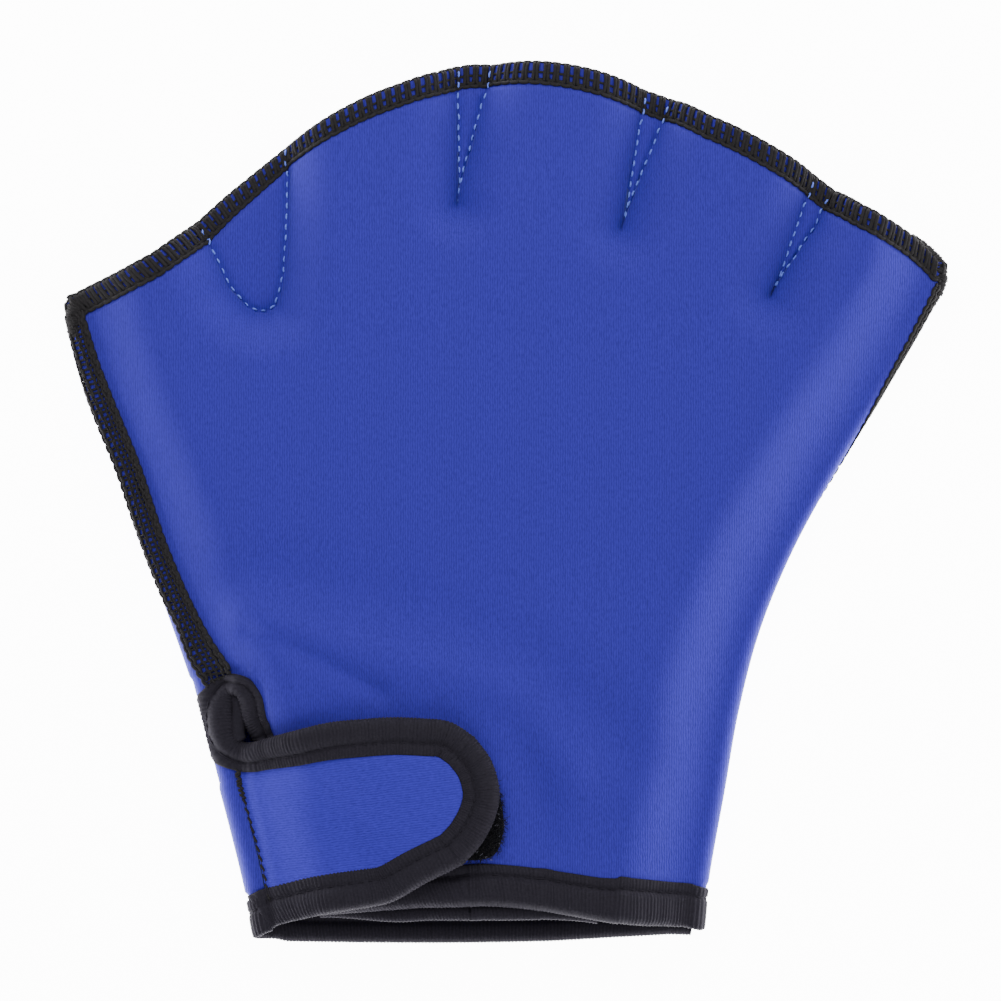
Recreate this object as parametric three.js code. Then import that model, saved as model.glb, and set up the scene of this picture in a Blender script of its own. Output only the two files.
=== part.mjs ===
import * as THREE from 'three';

// A fingerless webbed swim glove, lying flat with its front up. Millimetres, +Z up, +Y to the
// fingers, +X to the little finger.

// Driving sizes
const gloveWidth = 202.5;
const gloveLength = 201;
const fabric = 2;
const clearance = 0.3;

// The hollow between the layers
const palmHollow = 8;
const wristHollow = 7.1;
const fingerHollow = 7.2;
const webGap = 0.7;
const sideGap = 1.1;
const thumbWristGap = 4.4;
const littleWristGap = 2.6;
const sideRun = 18;
const webRun = 12;
const sideLift = 1.1;
const webLift = 0.6;
const fingerLift = 0.35;
const wristRun = 26;
const wristBlend = 0.16;
const frontWristStep = 7.4;
const lipDrop = 3.4;
const lipRun = 15;

// Edge tape, overlock, seams and closure
const tapeWall = 0.8;
const tapedFabric = 1.2;
const tapeReach = 6.3;
const lipTapeReach = 4.2;
const archTapeReach = 2.8;
const thumbLipReach = 5.6;
const threadClearance = 0.2;
const overlockWall = 0.4;
const overlockedFabric = 1;
const overlockReach = 4.4;
const thumbSeamWidth = 5.2;
const littleSeamWidth = 3.4;
const seamWall = 0.4;
const patchWall = 1;
const slitTop = 57.4;
const slitCorner = 44.6;
const slitHalfWidth = 1.5;
const strapRun = 3.6;

const blue = { color: 0x3a4dab, roughness: 0.9, metalness: 0 };
const strapBlue = { color: 0x3d51b1, roughness: 0.9, metalness: 0 };
const blackTape = { color: 0x25242c, roughness: 0.75, metalness: 0 };
const blackThread = { color: 0x1b1b24, roughness: 0.8, metalness: 0 };
const blackPile = { color: 0x17171c, roughness: 1, metalness: 0 };

const halfFabric = fabric / 2;
const halfTape = tapedFabric / 2 + clearance + tapeWall;
const strapRise = halfFabric + clearance + patchWall + clearance + halfTape;

// Side outlines: across is a share of the width from the middle, up is a share of the length
const thumbSide = [
  { up: -0.02, across: -0.279 },
  { up: 0.06, across: -0.295 },
  { up: 0.13, across: -0.312 },
  { up: 0.195, across: -0.329 },
  { up: 0.285, across: -0.352 },
  { up: 0.40, across: -0.392 },
  { up: 0.512, across: -0.4325 },
  { up: 0.626, across: -0.474 },
  { up: 0.722, across: -0.4985 },
  { up: 0.80, across: -0.51 },
];
const littleSide = [
  { up: -0.02, across: 0.222 },
  { up: 0.057, across: 0.229 },
  { up: 0.172, across: 0.249 },
  { up: 0.263, across: 0.265 },
  { up: 0.354, across: 0.289 },
  { up: 0.444, across: 0.326 },
  { up: 0.535, across: 0.375 },
  { up: 0.626, across: 0.429 },
  { up: 0.717, across: 0.481 },
  { up: 0.756, across: 0.4975 },
  { up: 0.80, across: 0.505 },
];
const wristLine = { thumbUp: 0.007, littleUp: 0.022, sag: 0.004 };

// The two sides and the legs of the four webs, at the finger edge and at the web's closed end.
// wrist is a share of the wrist's width, spans the steps to the next row, bulge how far the mouth's
// edge stands out between them, backStep how far the back layer's edge stands past the front's.
const legs = [
  { edgeAcross: -0.487, edgeUp: 0.735, tipAcross: -0.468, tipUp: 0.66, wrist: 0,
    spans: 3, bulge: -0.003, backStep: 0 },
  { edgeAcross: -0.345, edgeUp: 0.818, tipAcross: -0.302, tipUp: 0.725, wrist: 0.20,
    spans: 2, bulge: 0, backStep: 0 },
  { edgeAcross: -0.244, edgeUp: 0.900, tipAcross: -0.257, tipUp: 0.722, wrist: 0.27,
    spans: 4, bulge: 0.015, backStep: 0.008 },
  { edgeAcross: -0.056, edgeUp: 0.986, tipAcross: -0.0575, tipUp: 0.839, wrist: 0.47,
    spans: 1, bulge: 0, backStep: 0 },
  { edgeAcross: -0.013, edgeUp: 0.986, tipAcross: -0.0495, tipUp: 0.839, wrist: 0.50,
    spans: 3, bulge: 0.012, backStep: 0 },
  { edgeAcross: 0.155, edgeUp: 0.957, tipAcross: 0.1275, tipUp: 0.811, wrist: 0.64,
    spans: 1, bulge: 0, backStep: 0 },
  { edgeAcross: 0.188, edgeUp: 0.945, tipAcross: 0.1355, tipUp: 0.811, wrist: 0.67,
    spans: 3, bulge: 0.009, backStep: 0 },
  { edgeAcross: 0.345, edgeUp: 0.863, tipAcross: 0.2955, tipUp: 0.736, wrist: 0.81,
    spans: 1, bulge: 0, backStep: 0 },
  { edgeAcross: 0.368, edgeUp: 0.845, tipAcross: 0.3035, tipUp: 0.735, wrist: 0.84,
    spans: 3, bulge: 0.009, backStep: 0 },
  { edgeAcross: 0.485, edgeUp: 0.768, tipAcross: 0.442, tipUp: 0.69, wrist: 1,
    spans: 0, bulge: 0, backStep: 0 },
];
const webs = [
  { left: 1, right: 2 },
  { left: 3, right: 4 },
  { left: 5, right: 6 },
  { left: 7, right: 8 },
];
const palmShare = 0.79;
const palmFrom = 0.35;
const fingersFrom = 0.55;
const mouthsFrom = 0.68;
const mouthsRun = 0.12;
const frontStepFrom = 0.5;

// Thumb side seam and, below the slit's closed end, the two edges of the wrist slit: how far in
// from the side the back layer's edge (which comes round the side) and the front layer's edge lie,
// as shares of the width
const thumbSeam = [
  { up: 0.00, back: 0.031, front: 0.152 },
  { up: 0.045, back: 0.031, front: 0.142 },
  { up: 0.10, back: 0.032, front: 0.115 },
  { up: 0.16, back: 0.033, front: 0.082 },
  { up: 0.195, back: 0.036, front: 0.062 },
  { up: 0.222, back: 0.0445, front: 0.051 },
  { up: 0.24, back: 0.0475, front: 0.0475 },
  { up: 0.285, back: 0.048, front: 0.048 },
  { up: 0.31, back: 0.0425, front: 0.0425 },
  { up: 0.36, back: 0.029, front: 0.029 },
  { up: 0.42, back: 0.0225, front: 0.0225 },
  { up: 0.60, back: 0.0165, front: 0.0165 },
  { up: 0.74, back: 0.0045, front: 0.0045 },
  { up: 0.80, back: 0.0035, front: 0.0035 },
];

// Little finger side seam: quarters of the fold below its outermost line
const littleSeam = [
  { up: 0, quarters: 0.85 },
  { up: 0.4, quarters: 0.65 },
  { up: 0.76, quarters: 0.2 },
];

// Soft folds of the front layer, each along a bent line: reach is a share of the width and raise a
// share of the palm's hollow
const folds = [
  { line: [[-0.272, 0.415], [-0.160, 0.392], [-0.060, 0.355], [0.035, 0.300], [0.128, 0.220]],
    reach: 0.055, raise: -0.16 },
  { line: [[-0.250, 0.345], [-0.150, 0.322], [-0.050, 0.285], [0.020, 0.245], [0.069, 0.185]],
    reach: 0.050, raise: 0.13 },
];

// Strap outline from its root, as shares of the width from the middle and of the length
const strapTop = [[-0.2696, 0.2246], [-0.2247, 0.2326], [-0.1837, 0.2425], [-0.1432, 0.2480],
  [-0.1017, 0.2500], [-0.0642, 0.2460], [-0.0380, 0.2299]];
const strapTip = [[-0.0380, 0.2299], [-0.0202, 0.2045], [-0.0119, 0.1726], [-0.0165, 0.1450],
  [-0.0310, 0.1170], [-0.0504, 0.0950]];
const strapBottom = [[-0.2519, 0.0174], [-0.2247, 0.0300], [-0.1975, 0.0368], [-0.1565, 0.0438],
  [-0.1264, 0.0517], [-0.0909, 0.0736], [-0.0504, 0.0950]];
const patchOutline = [[-0.132, 0.106], [-0.146, 0.212], [-0.050, 0.226], [-0.0300, 0.2140],
  [-0.0165, 0.1940], [-0.0050, 0.1600], [-0.0034, 0.1240], [-0.0190, 0.0965], [-0.080, 0.0965]];

// Curves and blends

function mix(a, b, q) {
  return a + (b - a) * q;
}

function clamp(q) {
  return Math.min(Math.max(q, 0), 1);
}

function smooth(q) {
  const c = clamp(q);
  return c * c * (3 - 2 * c);
}

function crease(q) {
  const c = clamp(q);
  return 1 - (1 - c) * (1 - c);
}

function tableAt(table, column, up) {
  const last = table.length - 1;
  let k = 0;
  while (k < last - 1 && up > table[k + 1].up) {
    k += 1;
  }
  const slopeAt = (i) => {
    const before = table[Math.max(i - 1, 0)];
    const after = table[Math.min(i + 1, last)];
    return (after[column] - before[column]) / (after.up - before.up);
  };
  const a = table[k];
  const b = table[k + 1];
  const step = b.up - a.up;
  const q = (up - a.up) / step;
  if (q < 0) {
    return a[column] + slopeAt(k) * step * q;
  }
  if (q > 1) {
    return b[column] + slopeAt(k + 1) * step * (q - 1);
  }
  const q2 = q * q;
  const q3 = q2 * q;
  return a[column] * (2 * q3 - 3 * q2 + 1) + slopeAt(k) * step * (q3 - 2 * q2 + q)
    + b[column] * (3 * q2 - 2 * q3) + slopeAt(k + 1) * step * (q3 - q2);
}

function placeOf([across, up]) {
  return { x: across * gloveWidth, y: up * gloveLength };
}

function segmentDistance(x, y, a, b) {
  const dx = b.x - a.x;
  const dy = b.y - a.y;
  const q = clamp(((x - a.x) * dx + (y - a.y) * dy) / (dx * dx + dy * dy));
  return Math.hypot(x - a.x - q * dx, y - a.y - q * dy);
}

function lineDistance(x, y, line) {
  let nearest = Infinity;
  for (let i = 0; i < line.length - 1; i += 1) {
    nearest = Math.min(nearest, segmentDistance(x, y, line[i], line[i + 1]));
  }
  return nearest;
}

// Sides: a fold turns each layer over into the other

function wristShare(y) {
  return 1 - smooth((y - slitTop) / (gloveLength * wristBlend));
}

function foldRadius(side, y) {
  const gap = mix(sideGap, side < 0 ? thumbWristGap : littleWristGap, wristShare(y));
  return (fabric + gap) / 2;
}

function sideAt(side, y) {
  const table = side < 0 ? thumbSide : littleSide;
  const up = y / gloveLength;
  const reach = 0.01;
  const x = tableAt(table, 'across', up) * gloveWidth;
  const next = tableAt(table, 'across', up + reach) * gloveWidth;
  const cos = 1 / Math.hypot(1, (next - x) / (reach * gloveLength));
  const inset = foldRadius(side, y) + halfFabric;
  return { x: x - side * inset / cos, cos };
}

// Plan of the flat part: u runs from the thumb side to the little finger side, v from the wrist to
// the finger edge

function legsAt(u) {
  const scaled = clamp(u) * (legs.length - 1);
  const k = Math.min(Math.floor(scaled), legs.length - 2);
  return { from: legs[k], to: legs[k + 1], q: scaled - k };
}

function wristPoint(u) {
  const { from, to, q } = legsAt(u);
  const share = mix(from.wrist, to.wrist, q);
  const sag = wristLine.sag * 4 * share * (1 - share);
  const left = sideAt(-1, wristLine.thumbUp * gloveLength).x;
  const right = sideAt(1, wristLine.littleUp * gloveLength).x;
  return {
    x: mix(left, right, share),
    y: (mix(wristLine.thumbUp, wristLine.littleUp, share) - sag) * gloveLength,
  };
}

function tipPoint(u) {
  const { from, to, q } = legsAt(u);
  return placeOf([mix(from.tipAcross, to.tipAcross, q), mix(from.tipUp, to.tipUp, q)]);
}

function edgePoint(u) {
  const { from, to, q } = legsAt(u);
  const bulge = from.bulge * 4 * q * (1 - q);
  return placeOf([mix(from.edgeAcross, to.edgeAcross, q), mix(from.edgeUp, to.edgeUp, q) + bulge]);
}

function sideBow(side, from, to, q) {
  return sideAt(side, mix(from.y, to.y, q)).x - mix(from.x, to.x, q);
}

function plan(u, v) {
  const inPalm = v < palmShare;
  const q = inPalm ? v / palmShare : (v - palmShare) / (1 - palmShare);
  const startAt = inPalm ? wristPoint : tipPoint;
  const endAt = inPalm ? tipPoint : edgePoint;
  const start = startAt(u);
  const end = endAt(u);
  const bowLeft = sideBow(-1, startAt(0), endAt(0), q);
  const bowRight = sideBow(1, startAt(1), endAt(1), q);
  return {
    x: mix(start.x, end.x, q) + bowLeft * (1 - u) ** 2 + bowRight * u ** 2,
    y: mix(start.y, end.y, q),
  };
}

function distanceBetween(a, b) {
  return Math.hypot(b.x - a.x, b.y - a.y);
}

function aboveWrist(u, v, length) {
  return v + length / distanceBetween(wristPoint(u), tipPoint(u)) * palmShare;
}

function belowEdge(u, v, length) {
  const finger = distanceBetween(tipPoint(u), edgePoint(u));
  if (length <= finger) {
    return v - length / finger * (1 - palmShare);
  }
  const palm = distanceBetween(wristPoint(u), tipPoint(u));
  return v - (1 - palmShare) - (length - finger) / palm * palmShare;
}

// How far across, from a side, a place lies that is this far from the side's flat edge
function acrossAt(side, v, distance) {
  const from = side < 0 ? 0 : 1;
  const start = plan(from, v);
  let low = 0;
  let high = 0.6;
  for (let step = 0; step < 24; step += 1) {
    const middle = (low + high) / 2;
    if (distanceBetween(start, plan(Math.abs(from - middle), v)) < distance) {
      low = middle;
    } else {
      high = middle;
    }
  }
  return Math.abs(from - (low + high) / 2);
}

// Heights of the two layers' middle surfaces

function webOutline({ left, right }) {
  const beyond = 0.15;
  const ends = [legs[left], legs[right]].map((leg) => {
    const tip = placeOf([leg.tipAcross, leg.tipUp]);
    const edge = placeOf([leg.edgeAcross, leg.edgeUp]);
    const past = { x: mix(tip.x, edge.x, 1 + beyond), y: mix(tip.y, edge.y, 1 + beyond) };
    return { tip, past };
  });
  return [ends[0].past, ends[0].tip, ends[1].tip, ends[1].past];
}

const webOutlines = webs.map(webOutline);

function isInside(x, y, outline) {
  let inside = false;
  outline.forEach((a, i) => {
    const b = outline[(i + 1) % outline.length];
    if ((a.y > y) !== (b.y > y) && x < a.x + (y - a.y) / (b.y - a.y) * (b.x - a.x)) {
      inside = !inside;
    }
  });
  return inside;
}

function openness(x, y) {
  const left = sideAt(-1, y);
  const right = sideAt(1, y);
  const open = smooth((x - left.x) * left.cos / sideRun) * smooth((right.x - x) * right.cos / sideRun);
  const share = clamp((x - left.x) / (right.x - left.x));
  let free = 1;
  for (const outline of webOutlines) {
    const distance = isInside(x, y, outline) ? 0 : lineDistance(x, y, outline);
    free *= crease(distance / webRun);
  }
  return { open, free, share };
}

function hollowAt(y) {
  const up = y / gloveLength;
  const lower = mix(wristHollow, palmHollow, smooth(up / palmFrom));
  return mix(lower, fingerHollow, smooth((up - fingersFrom) / (1 - fingersFrom)));
}

const foldLines = folds.map(({ line, reach, raise }) => ({
  line: line.map(placeOf),
  reach: reach * gloveWidth,
  raise: raise * palmHollow,
}));

function foldHeight(x, y) {
  let height = 0;
  for (const { line, reach, raise } of foldLines) {
    const far = lineDistance(x, y, line) / reach;
    height += raise * Math.exp(-far * far);
  }
  return height;
}

function backHeight(x, y) {
  const { open, free } = openness(x, y);
  const up = y / gloveLength;
  const wristLift = (halfTape - halfFabric + clearance) * (1 - smooth(y / wristRun));
  const edgeLift = fingerLift * smooth((up - mouthsFrom) / mouthsRun);
  return halfFabric + sideLift * (1 - open) + webLift * (1 - free) + wristLift
    + Math.max(edgeLift - sideLift * (1 - open), 0);
}

function topHeight(x, y) {
  const { open, free, share } = openness(x, y);
  const fold = mix(2 * foldRadius(-1, y), 2 * foldRadius(1, y), smooth(share)) - fabric;
  const gap = webGap + (fold - webGap) * free + hollowAt(y) * open * free;
  return backHeight(x, y) + fabric + gap + foldHeight(x, y) * open * free;
}

function frontEdgeX(y) {
  const side = sideAt(-1, y);
  const inset = tableAt(thumbSeam, 'front', y / gloveLength) * gloveWidth + slitHalfWidth;
  return side.x + (inset - foldRadius(-1, y) - halfFabric) / side.cos;
}

function frontHeight(x, y) {
  const past = Math.max(x - frontEdgeX(y), 0) / lipRun;
  const below = smooth((slitTop - 1.5 * slitHalfWidth - y) / (slitTop - slitCorner));
  return topHeight(x, y) - lipDrop * below * Math.exp(-past * past);
}

function heightPoint(heightAt, x, y) {
  const step = 0.05;
  const slopeX = (heightAt(x + step, y) - heightAt(x - step, y)) / (2 * step);
  const slopeY = (heightAt(x, y + step) - heightAt(x, y - step)) / (2 * step);
  return {
    point: new THREE.Vector3(x, y, heightAt(x, y)),
    normal: new THREE.Vector3(-slopeX, -slopeY, 1).normalize(),
  };
}

function backPoint(x, y) {
  const found = heightPoint(backHeight, x, y);
  found.normal.negate();
  return found;
}

// The layers as one flattened tube. A distance runs along it from a side's outermost line, over the
// front where it is positive and over the back where it is negative.

const lookAhead = 0.004;

function foldPoint(side, v, angle) {
  const u = side < 0 ? 0 : 1;
  const at = plan(u, v);
  const next = plan(u, v + lookAhead);
  const along = new THREE.Vector3(next.x - at.x, next.y - at.y, 0).normalize();
  const radius = foldRadius(side, at.y);
  const normal = new THREE.Vector3(side * along.y, -side * along.x, 0).multiplyScalar(Math.cos(angle));
  normal.z = Math.sin(angle);
  const point = new THREE.Vector3(at.x, at.y, backHeight(at.x, at.y) + radius);
  return { point: point.addScaledVector(normal, radius), normal };
}

function quarterAt(side, v) {
  return foldRadius(side, plan(side < 0 ? 0 : 1, v).y) * Math.PI / 2;
}

function sidePoint(side, heightAt, v, distance) {
  const quarter = quarterAt(side, v);
  if (Math.abs(distance) <= quarter) {
    return foldPoint(side, v, distance / quarter * Math.PI / 2);
  }
  const at = plan(acrossAt(side, v, Math.abs(distance) - quarter), v);
  return distance > 0 ? heightPoint(heightAt, at.x, at.y) : backPoint(at.x, at.y);
}

function seamDistance(column, v) {
  const { y } = plan(0, v);
  const radius = foldRadius(-1, y);
  const below = slitTop - y;
  const round = Math.sqrt(Math.max(slitHalfWidth ** 2 - (slitHalfWidth - below) ** 2, 0));
  const slit = below < slitHalfWidth ? round : slitHalfWidth;
  const opening = Math.max(slit, clearance / 2);
  const sign = column === 'front' ? 1 : -1;
  const inset = tableAt(thumbSeam, column, y / gloveLength) * gloveWidth;
  const outer = radius + halfFabric;
  const turned = inset < outer ? radius * Math.acos(1 - inset / outer) : radius * Math.PI / 2 + inset - outer;
  return turned + sign * opening;
}

function littleSeamDistance(v) {
  const up = plan(1, v).y / gloveLength;
  return tableAt(littleSeam, 'quarters', up) * quarterAt(1, v);
}

function vAtHeight(y) {
  const low = wristPoint(0).y;
  return palmShare * (y - low) / (tipPoint(0).y - low);
}

// Columns of each layer, from the thumb side seam to the little finger side seam

const fullBeyond = 1.5;
const lipColumns = [0, 0.18, 0.36, 0.6, 1].map((share) => share * lipTapeReach);
lipColumns.push(lipTapeReach + fullBeyond);
const lipCrowding = 24;
const lipCrowdingFrom = 0.25;
const lipCrowdingRun = 0.5;
const thumbFoldSteps = 7;
const littleFoldSteps = { front: 4, back: 3 };

function innerColumns() {
  const columns = [];
  legs.slice(0, -1).forEach(({ spans }, k) => {
    for (let i = 0; i < spans; i += 1) {
      columns.push((k + i / spans) / (legs.length - 1));
    }
  });
  return columns.slice(1);
}

function frontColumns() {
  const columns = lipColumns.map((past) => ({
    u: 0,
    past,
    at: (v) => sidePoint(-1, frontHeight, v, seamDistance('front', v) + past),
  }));
  for (const u of innerColumns()) {
    const besideLip = (v) => {
      const used = seamDistance('front', v) + lipColumns.at(-1) - quarterAt(-1, v);
      const first = acrossAt(-1, v, Math.max(used, 0));
      const power = 1 + lipCrowding * smooth((v - lipCrowdingFrom) / lipCrowdingRun);
      return u + first * (1 - u) ** power;
    };
    columns.push({
      u,
      wristU: besideLip(0),
      at: (v) => {
        const at = plan(besideLip(v), v);
        return heightPoint(frontHeight, at.x, at.y);
      },
    });
  }
  for (let i = 0; i <= littleFoldSteps.front; i += 1) {
    columns.push({
      u: 1,
      at: (v) => {
        const quarter = quarterAt(1, v);
        const end = -littleSeamDistance(v) + clearance / 2;
        return foldPoint(1, v, mix(quarter, end, i / littleFoldSteps.front) / quarter * Math.PI / 2);
      },
    });
  }
  return columns;
}

function backColumns() {
  const columns = [];
  for (let i = 0; i <= thumbFoldSteps; i += 1) {
    columns.push({
      u: 0,
      share: i / thumbFoldSteps,
      at: (v) => {
        const from = seamDistance('back', v);
        return sidePoint(-1, topHeight, v, mix(from, -quarterAt(-1, v), i / thumbFoldSteps));
      },
    });
  }
  for (const u of innerColumns()) {
    columns.push({
      u,
      at: (v) => {
        const at = plan(u, v);
        return backPoint(at.x, at.y);
      },
    });
  }
  for (let i = 0; i <= littleFoldSteps.back; i += 1) {
    columns.push({
      u: 1,
      at: (v) => {
        const quarter = quarterAt(1, v);
        const end = -littleSeamDistance(v) - clearance / 2;
        return foldPoint(1, v, mix(-quarter, end, i / littleFoldSteps.back) / quarter * Math.PI / 2);
      },
    });
  }
  return columns;
}

// Rows of each layer: in millimetres from its wrist edge, at heights on the thumb side beside the
// slit, evenly between, and in millimetres from its finger edge

const wristRows = [0, tapeReach * 0.4, tapeReach, tapeReach + fullBeyond];
const slitRows = [0.42, 0.58, 0.74, 0.89, 1].map((share) => share * slitCorner);
slitRows.push(mix(slitCorner, slitTop, 0.5), slitTop - slitHalfWidth, slitTop - slitHalfWidth * 0.3, slitTop);
const archRows = [slitTop + archTapeReach + clearance, slitTop + archTapeReach + clearance + fullBeyond];
const middleRows = 6;
const edgeRows = [overlockReach * 4.3, overlockReach * 2.8, overlockReach + fullBeyond, overlockReach,
  overlockReach * 0.45, 0];

function wristV(column, layer, length) {
  const u = column.wristU ?? column.u;
  const { from, to, q } = legsAt(u);
  const share = mix(from.wrist, to.wrist, q);
  const fading = 1 - smooth((share - frontStepFrom) / (1 - frontStepFrom));
  const start = layer === 'front' ? frontWristStep * fading : 0;
  return aboveWrist(u, 0, start + length);
}

function edgeV(u, layer) {
  const { from, q } = legsAt(u);
  const step = layer === 'back' ? from.backStep * 4 * q * (1 - q) * gloveLength : 0;
  return belowEdge(u, 1, -step);
}

function rowsOf(column, layer) {
  const { u } = column;
  const top = edgeV(u, layer);
  const rows = wristRows.map((length) => wristV(column, layer, length));
  rows.push(...[...slitRows, ...archRows].map(vAtHeight));
  const from = rows.at(-1);
  const to = belowEdge(u, top, edgeRows[0]);
  for (let i = 1; i < middleRows; i += 1) {
    rows.push(mix(from, to, i / middleRows));
  }
  rows.push(...edgeRows.map((length) => belowEdge(u, top, length)));
  return rows;
}

// Half the fabric's thickness: thin as far as a band reaches from an edge, and full past it
function thinned(distance, reach, edgeHalf) {
  return mix(edgeHalf, halfFabric, smooth((distance - reach) / fullBeyond));
}

function layerGrid(columns, layer) {
  return columns.map((column) => rowsOf(column, layer).map((v, j, rows) => {
    const fromWrist = j < wristRows.length ? wristRows[j] : Infinity;
    const edgeRow = j - (rows.length - edgeRows.length);
    const fromEdge = edgeRow >= 0 ? edgeRows[edgeRow] : Infinity;
    const halves = [
      thinned(fromWrist, tapeReach, tapedFabric / 2),
      thinned(fromEdge, overlockReach, overlockedFabric / 2),
    ];
    const { y } = plan(0, v);
    const aboveSlit = y - slitTop;
    if (layer === 'front' && column.past !== undefined) {
      const past = Math.max(column.past - lipTapeReach, aboveSlit - archTapeReach - clearance);
      halves.push(thinned(past, 0, tapedFabric / 2));
    }
    if (layer === 'back' && column.share !== undefined) {
      const inFromEdge = column.share * (seamDistance('back', v) + quarterAt(-1, v));
      const past = Math.max(inFromEdge - tapeReach, aboveSlit - archTapeReach - clearance,
        slitCorner - tapeReach - y);
      halves.push(thinned(past, 0, tapedFabric / 2));
    }
    const half = Math.min(...halves);
    return { ...column.at(v), low: -half, high: half, v };
  }));
}

// Solids

function signedVolume(positions, indices) {
  const corner = (i) => new THREE.Vector3().fromArray(positions, indices[i] * 3);
  let volume = 0;
  for (let i = 0; i < indices.length; i += 3) {
    volume += corner(i).dot(corner(i + 1).cross(corner(i + 2))) / 6;
  }
  return volume;
}

function solidGeometry(positions, indices) {
  const turned = [];
  for (let i = 0; i < indices.length; i += 3) {
    turned.push(indices[i], indices[i + 2], indices[i + 1]);
  }
  const geometry = new THREE.BufferGeometry();
  geometry.setAttribute('position', new THREE.Float32BufferAttribute(positions, 3));
  geometry.setIndex(signedVolume(positions, indices) < 0 ? turned : indices);
  geometry.computeVertexNormals();
  return geometry;
}

// Whether a cell bends less over its diagonal from a to c than over the one from b to d
function isFlatter(a, b, c, d) {
  const bend = (p, q, r, s) => {
    const edge = r.point.clone().sub(p.point);
    const one = q.point.clone().sub(p.point).cross(edge).normalize();
    const other = edge.cross(s.point.clone().sub(p.point)).normalize();
    return one.dot(other);
  };
  return bend(a, b, c, d) >= bend(b, c, d, a);
}

// A closed shell over a grid of places, each with its lower and upper offset
function shellGeometry(grid) {
  const rows = grid[0].length;
  const positions = [];
  const indices = [];
  for (const { point, normal, low, high } of grid.flat()) {
    positions.push(...point.clone().addScaledVector(normal, low).toArray());
    positions.push(...point.clone().addScaledVector(normal, high).toArray());
  }
  const at = (i, j, layer) => (i * rows + j) * 2 + layer;
  const quad = (a, b, c, d) => indices.push(a, b, c, a, c, d);
  const turnedQuad = (a, b, c, d) => indices.push(a, b, d, b, c, d);
  const lastColumn = grid.length - 1;
  const lastRow = rows - 1;
  for (let i = 0; i < lastColumn; i += 1) {
    for (let j = 0; j < lastRow; j += 1) {
      const split = isFlatter(grid[i][j], grid[i + 1][j], grid[i + 1][j + 1], grid[i][j + 1])
        ? quad : turnedQuad;
      split(at(i, j, 1), at(i + 1, j, 1), at(i + 1, j + 1, 1), at(i, j + 1, 1));
      split(at(i, j, 0), at(i, j + 1, 0), at(i + 1, j + 1, 0), at(i + 1, j, 0));
    }
    quad(at(i, 0, 0), at(i + 1, 0, 0), at(i + 1, 0, 1), at(i, 0, 1));
    quad(at(i, lastRow, 1), at(i + 1, lastRow, 1), at(i + 1, lastRow, 0), at(i, lastRow, 0));
  }
  for (let j = 0; j < lastRow; j += 1) {
    quad(at(0, j, 0), at(0, j, 1), at(0, j + 1, 1), at(0, j + 1, 0));
    quad(at(lastColumn, j, 0), at(lastColumn, j + 1, 0), at(lastColumn, j + 1, 1), at(lastColumn, j, 1));
  }
  return solidGeometry(positions, indices);
}

// A band folded round an edge. A station gives the place at a distance in from the edge, and its
// reach; steps are the shares of the reach where the band bends with the fabric.
function wrapGeometry(stations, { fabricHalf, gap, wall, steps }) {
  const inner = fabricHalf + gap;
  const outer = inner + wall;
  const sectionAt = ({ place, reach }) => {
    const edge = place(0);
    const inward = place(0.2).point.clone().sub(edge.point).normalize();
    const nose = (out, high) => edge.point.clone()
      .addScaledVector(inward, -out).addScaledVector(edge.normal, high);
    const along = (share, high) => {
      const { point, normal } = place(share * reach);
      return point.clone().addScaledVector(normal, high);
    };
    const back = [...steps].reverse();
    return [
      ...back.map((share) => along(share, outer)),
      nose(gap + wall, outer * 0.5),
      nose(gap + wall, -outer * 0.5),
      ...steps.map((share) => along(share, -outer)),
      ...back.map((share) => (share > 0 ? along(share, -inner) : nose(gap, -inner))),
      ...steps.map((share) => (share > 0 ? along(share, inner) : nose(gap, inner))),
    ];
  };
  const sections = stations.map(sectionAt);
  const count = sections[0].length;
  const positions = sections.flat().flatMap((corner) => corner.toArray());
  const indices = [];
  for (let i = 0; i < sections.length - 1; i += 1) {
    for (let k = 0; k < count; k += 1) {
      const next = (k + 1) % count;
      const a = i * count + k;
      const b = i * count + next;
      indices.push(a, b, b + count, a, b + count, a + count);
    }
  }
  const back = [...steps].reverse();
  const flatReach = stations[0].reach;
  const flat = [
    ...back.map((share) => new THREE.Vector2(-share * flatReach, outer)),
    new THREE.Vector2(gap + wall, outer / 2),
    new THREE.Vector2(gap + wall, -outer / 2),
    ...steps.map((share) => new THREE.Vector2(-share * flatReach, -outer)),
    ...back.map((share) => new THREE.Vector2(share > 0 ? -share * flatReach : gap, -inner)),
    ...steps.map((share) => new THREE.Vector2(share > 0 ? -share * flatReach : gap, inner)),
  ];
  const last = (sections.length - 1) * count;
  for (const [a, b, c] of THREE.ShapeUtils.triangulateShape(flat, [])) {
    indices.push(a, b, c);
    indices.push(last + c, last + b, last + a);
  }
  return solidGeometry(positions, indices);
}

const group = new THREE.Group();

function addPiece(name, geometry, finish) {
  const mesh = new THREE.Mesh(geometry, new THREE.MeshStandardMaterial(finish));
  mesh.name = name;
  group.add(mesh);
}

// The two layers
const front = frontColumns();
const back = backColumns();
addPiece('back_panel', shellGeometry(layerGrid(back, 'back')), blue);
addPiece('front_panel', shellGeometry(layerGrid(front, 'front')), blue);

// Overlock round the finger edges and tape round the wrist edges
const overlock = {
  fabricHalf: overlockedFabric / 2, gap: threadClearance, wall: overlockWall, steps: [0, 1],
};
const tape = { fabricHalf: tapedFabric / 2, gap: clearance, wall: tapeWall, steps: [0, 1] };

function edgeStations(columns, layer) {
  return columns.map((column) => ({
    reach: overlockReach,
    place: (distance) => column.at(belowEdge(column.u, edgeV(column.u, layer), distance)),
  }));
}

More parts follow.
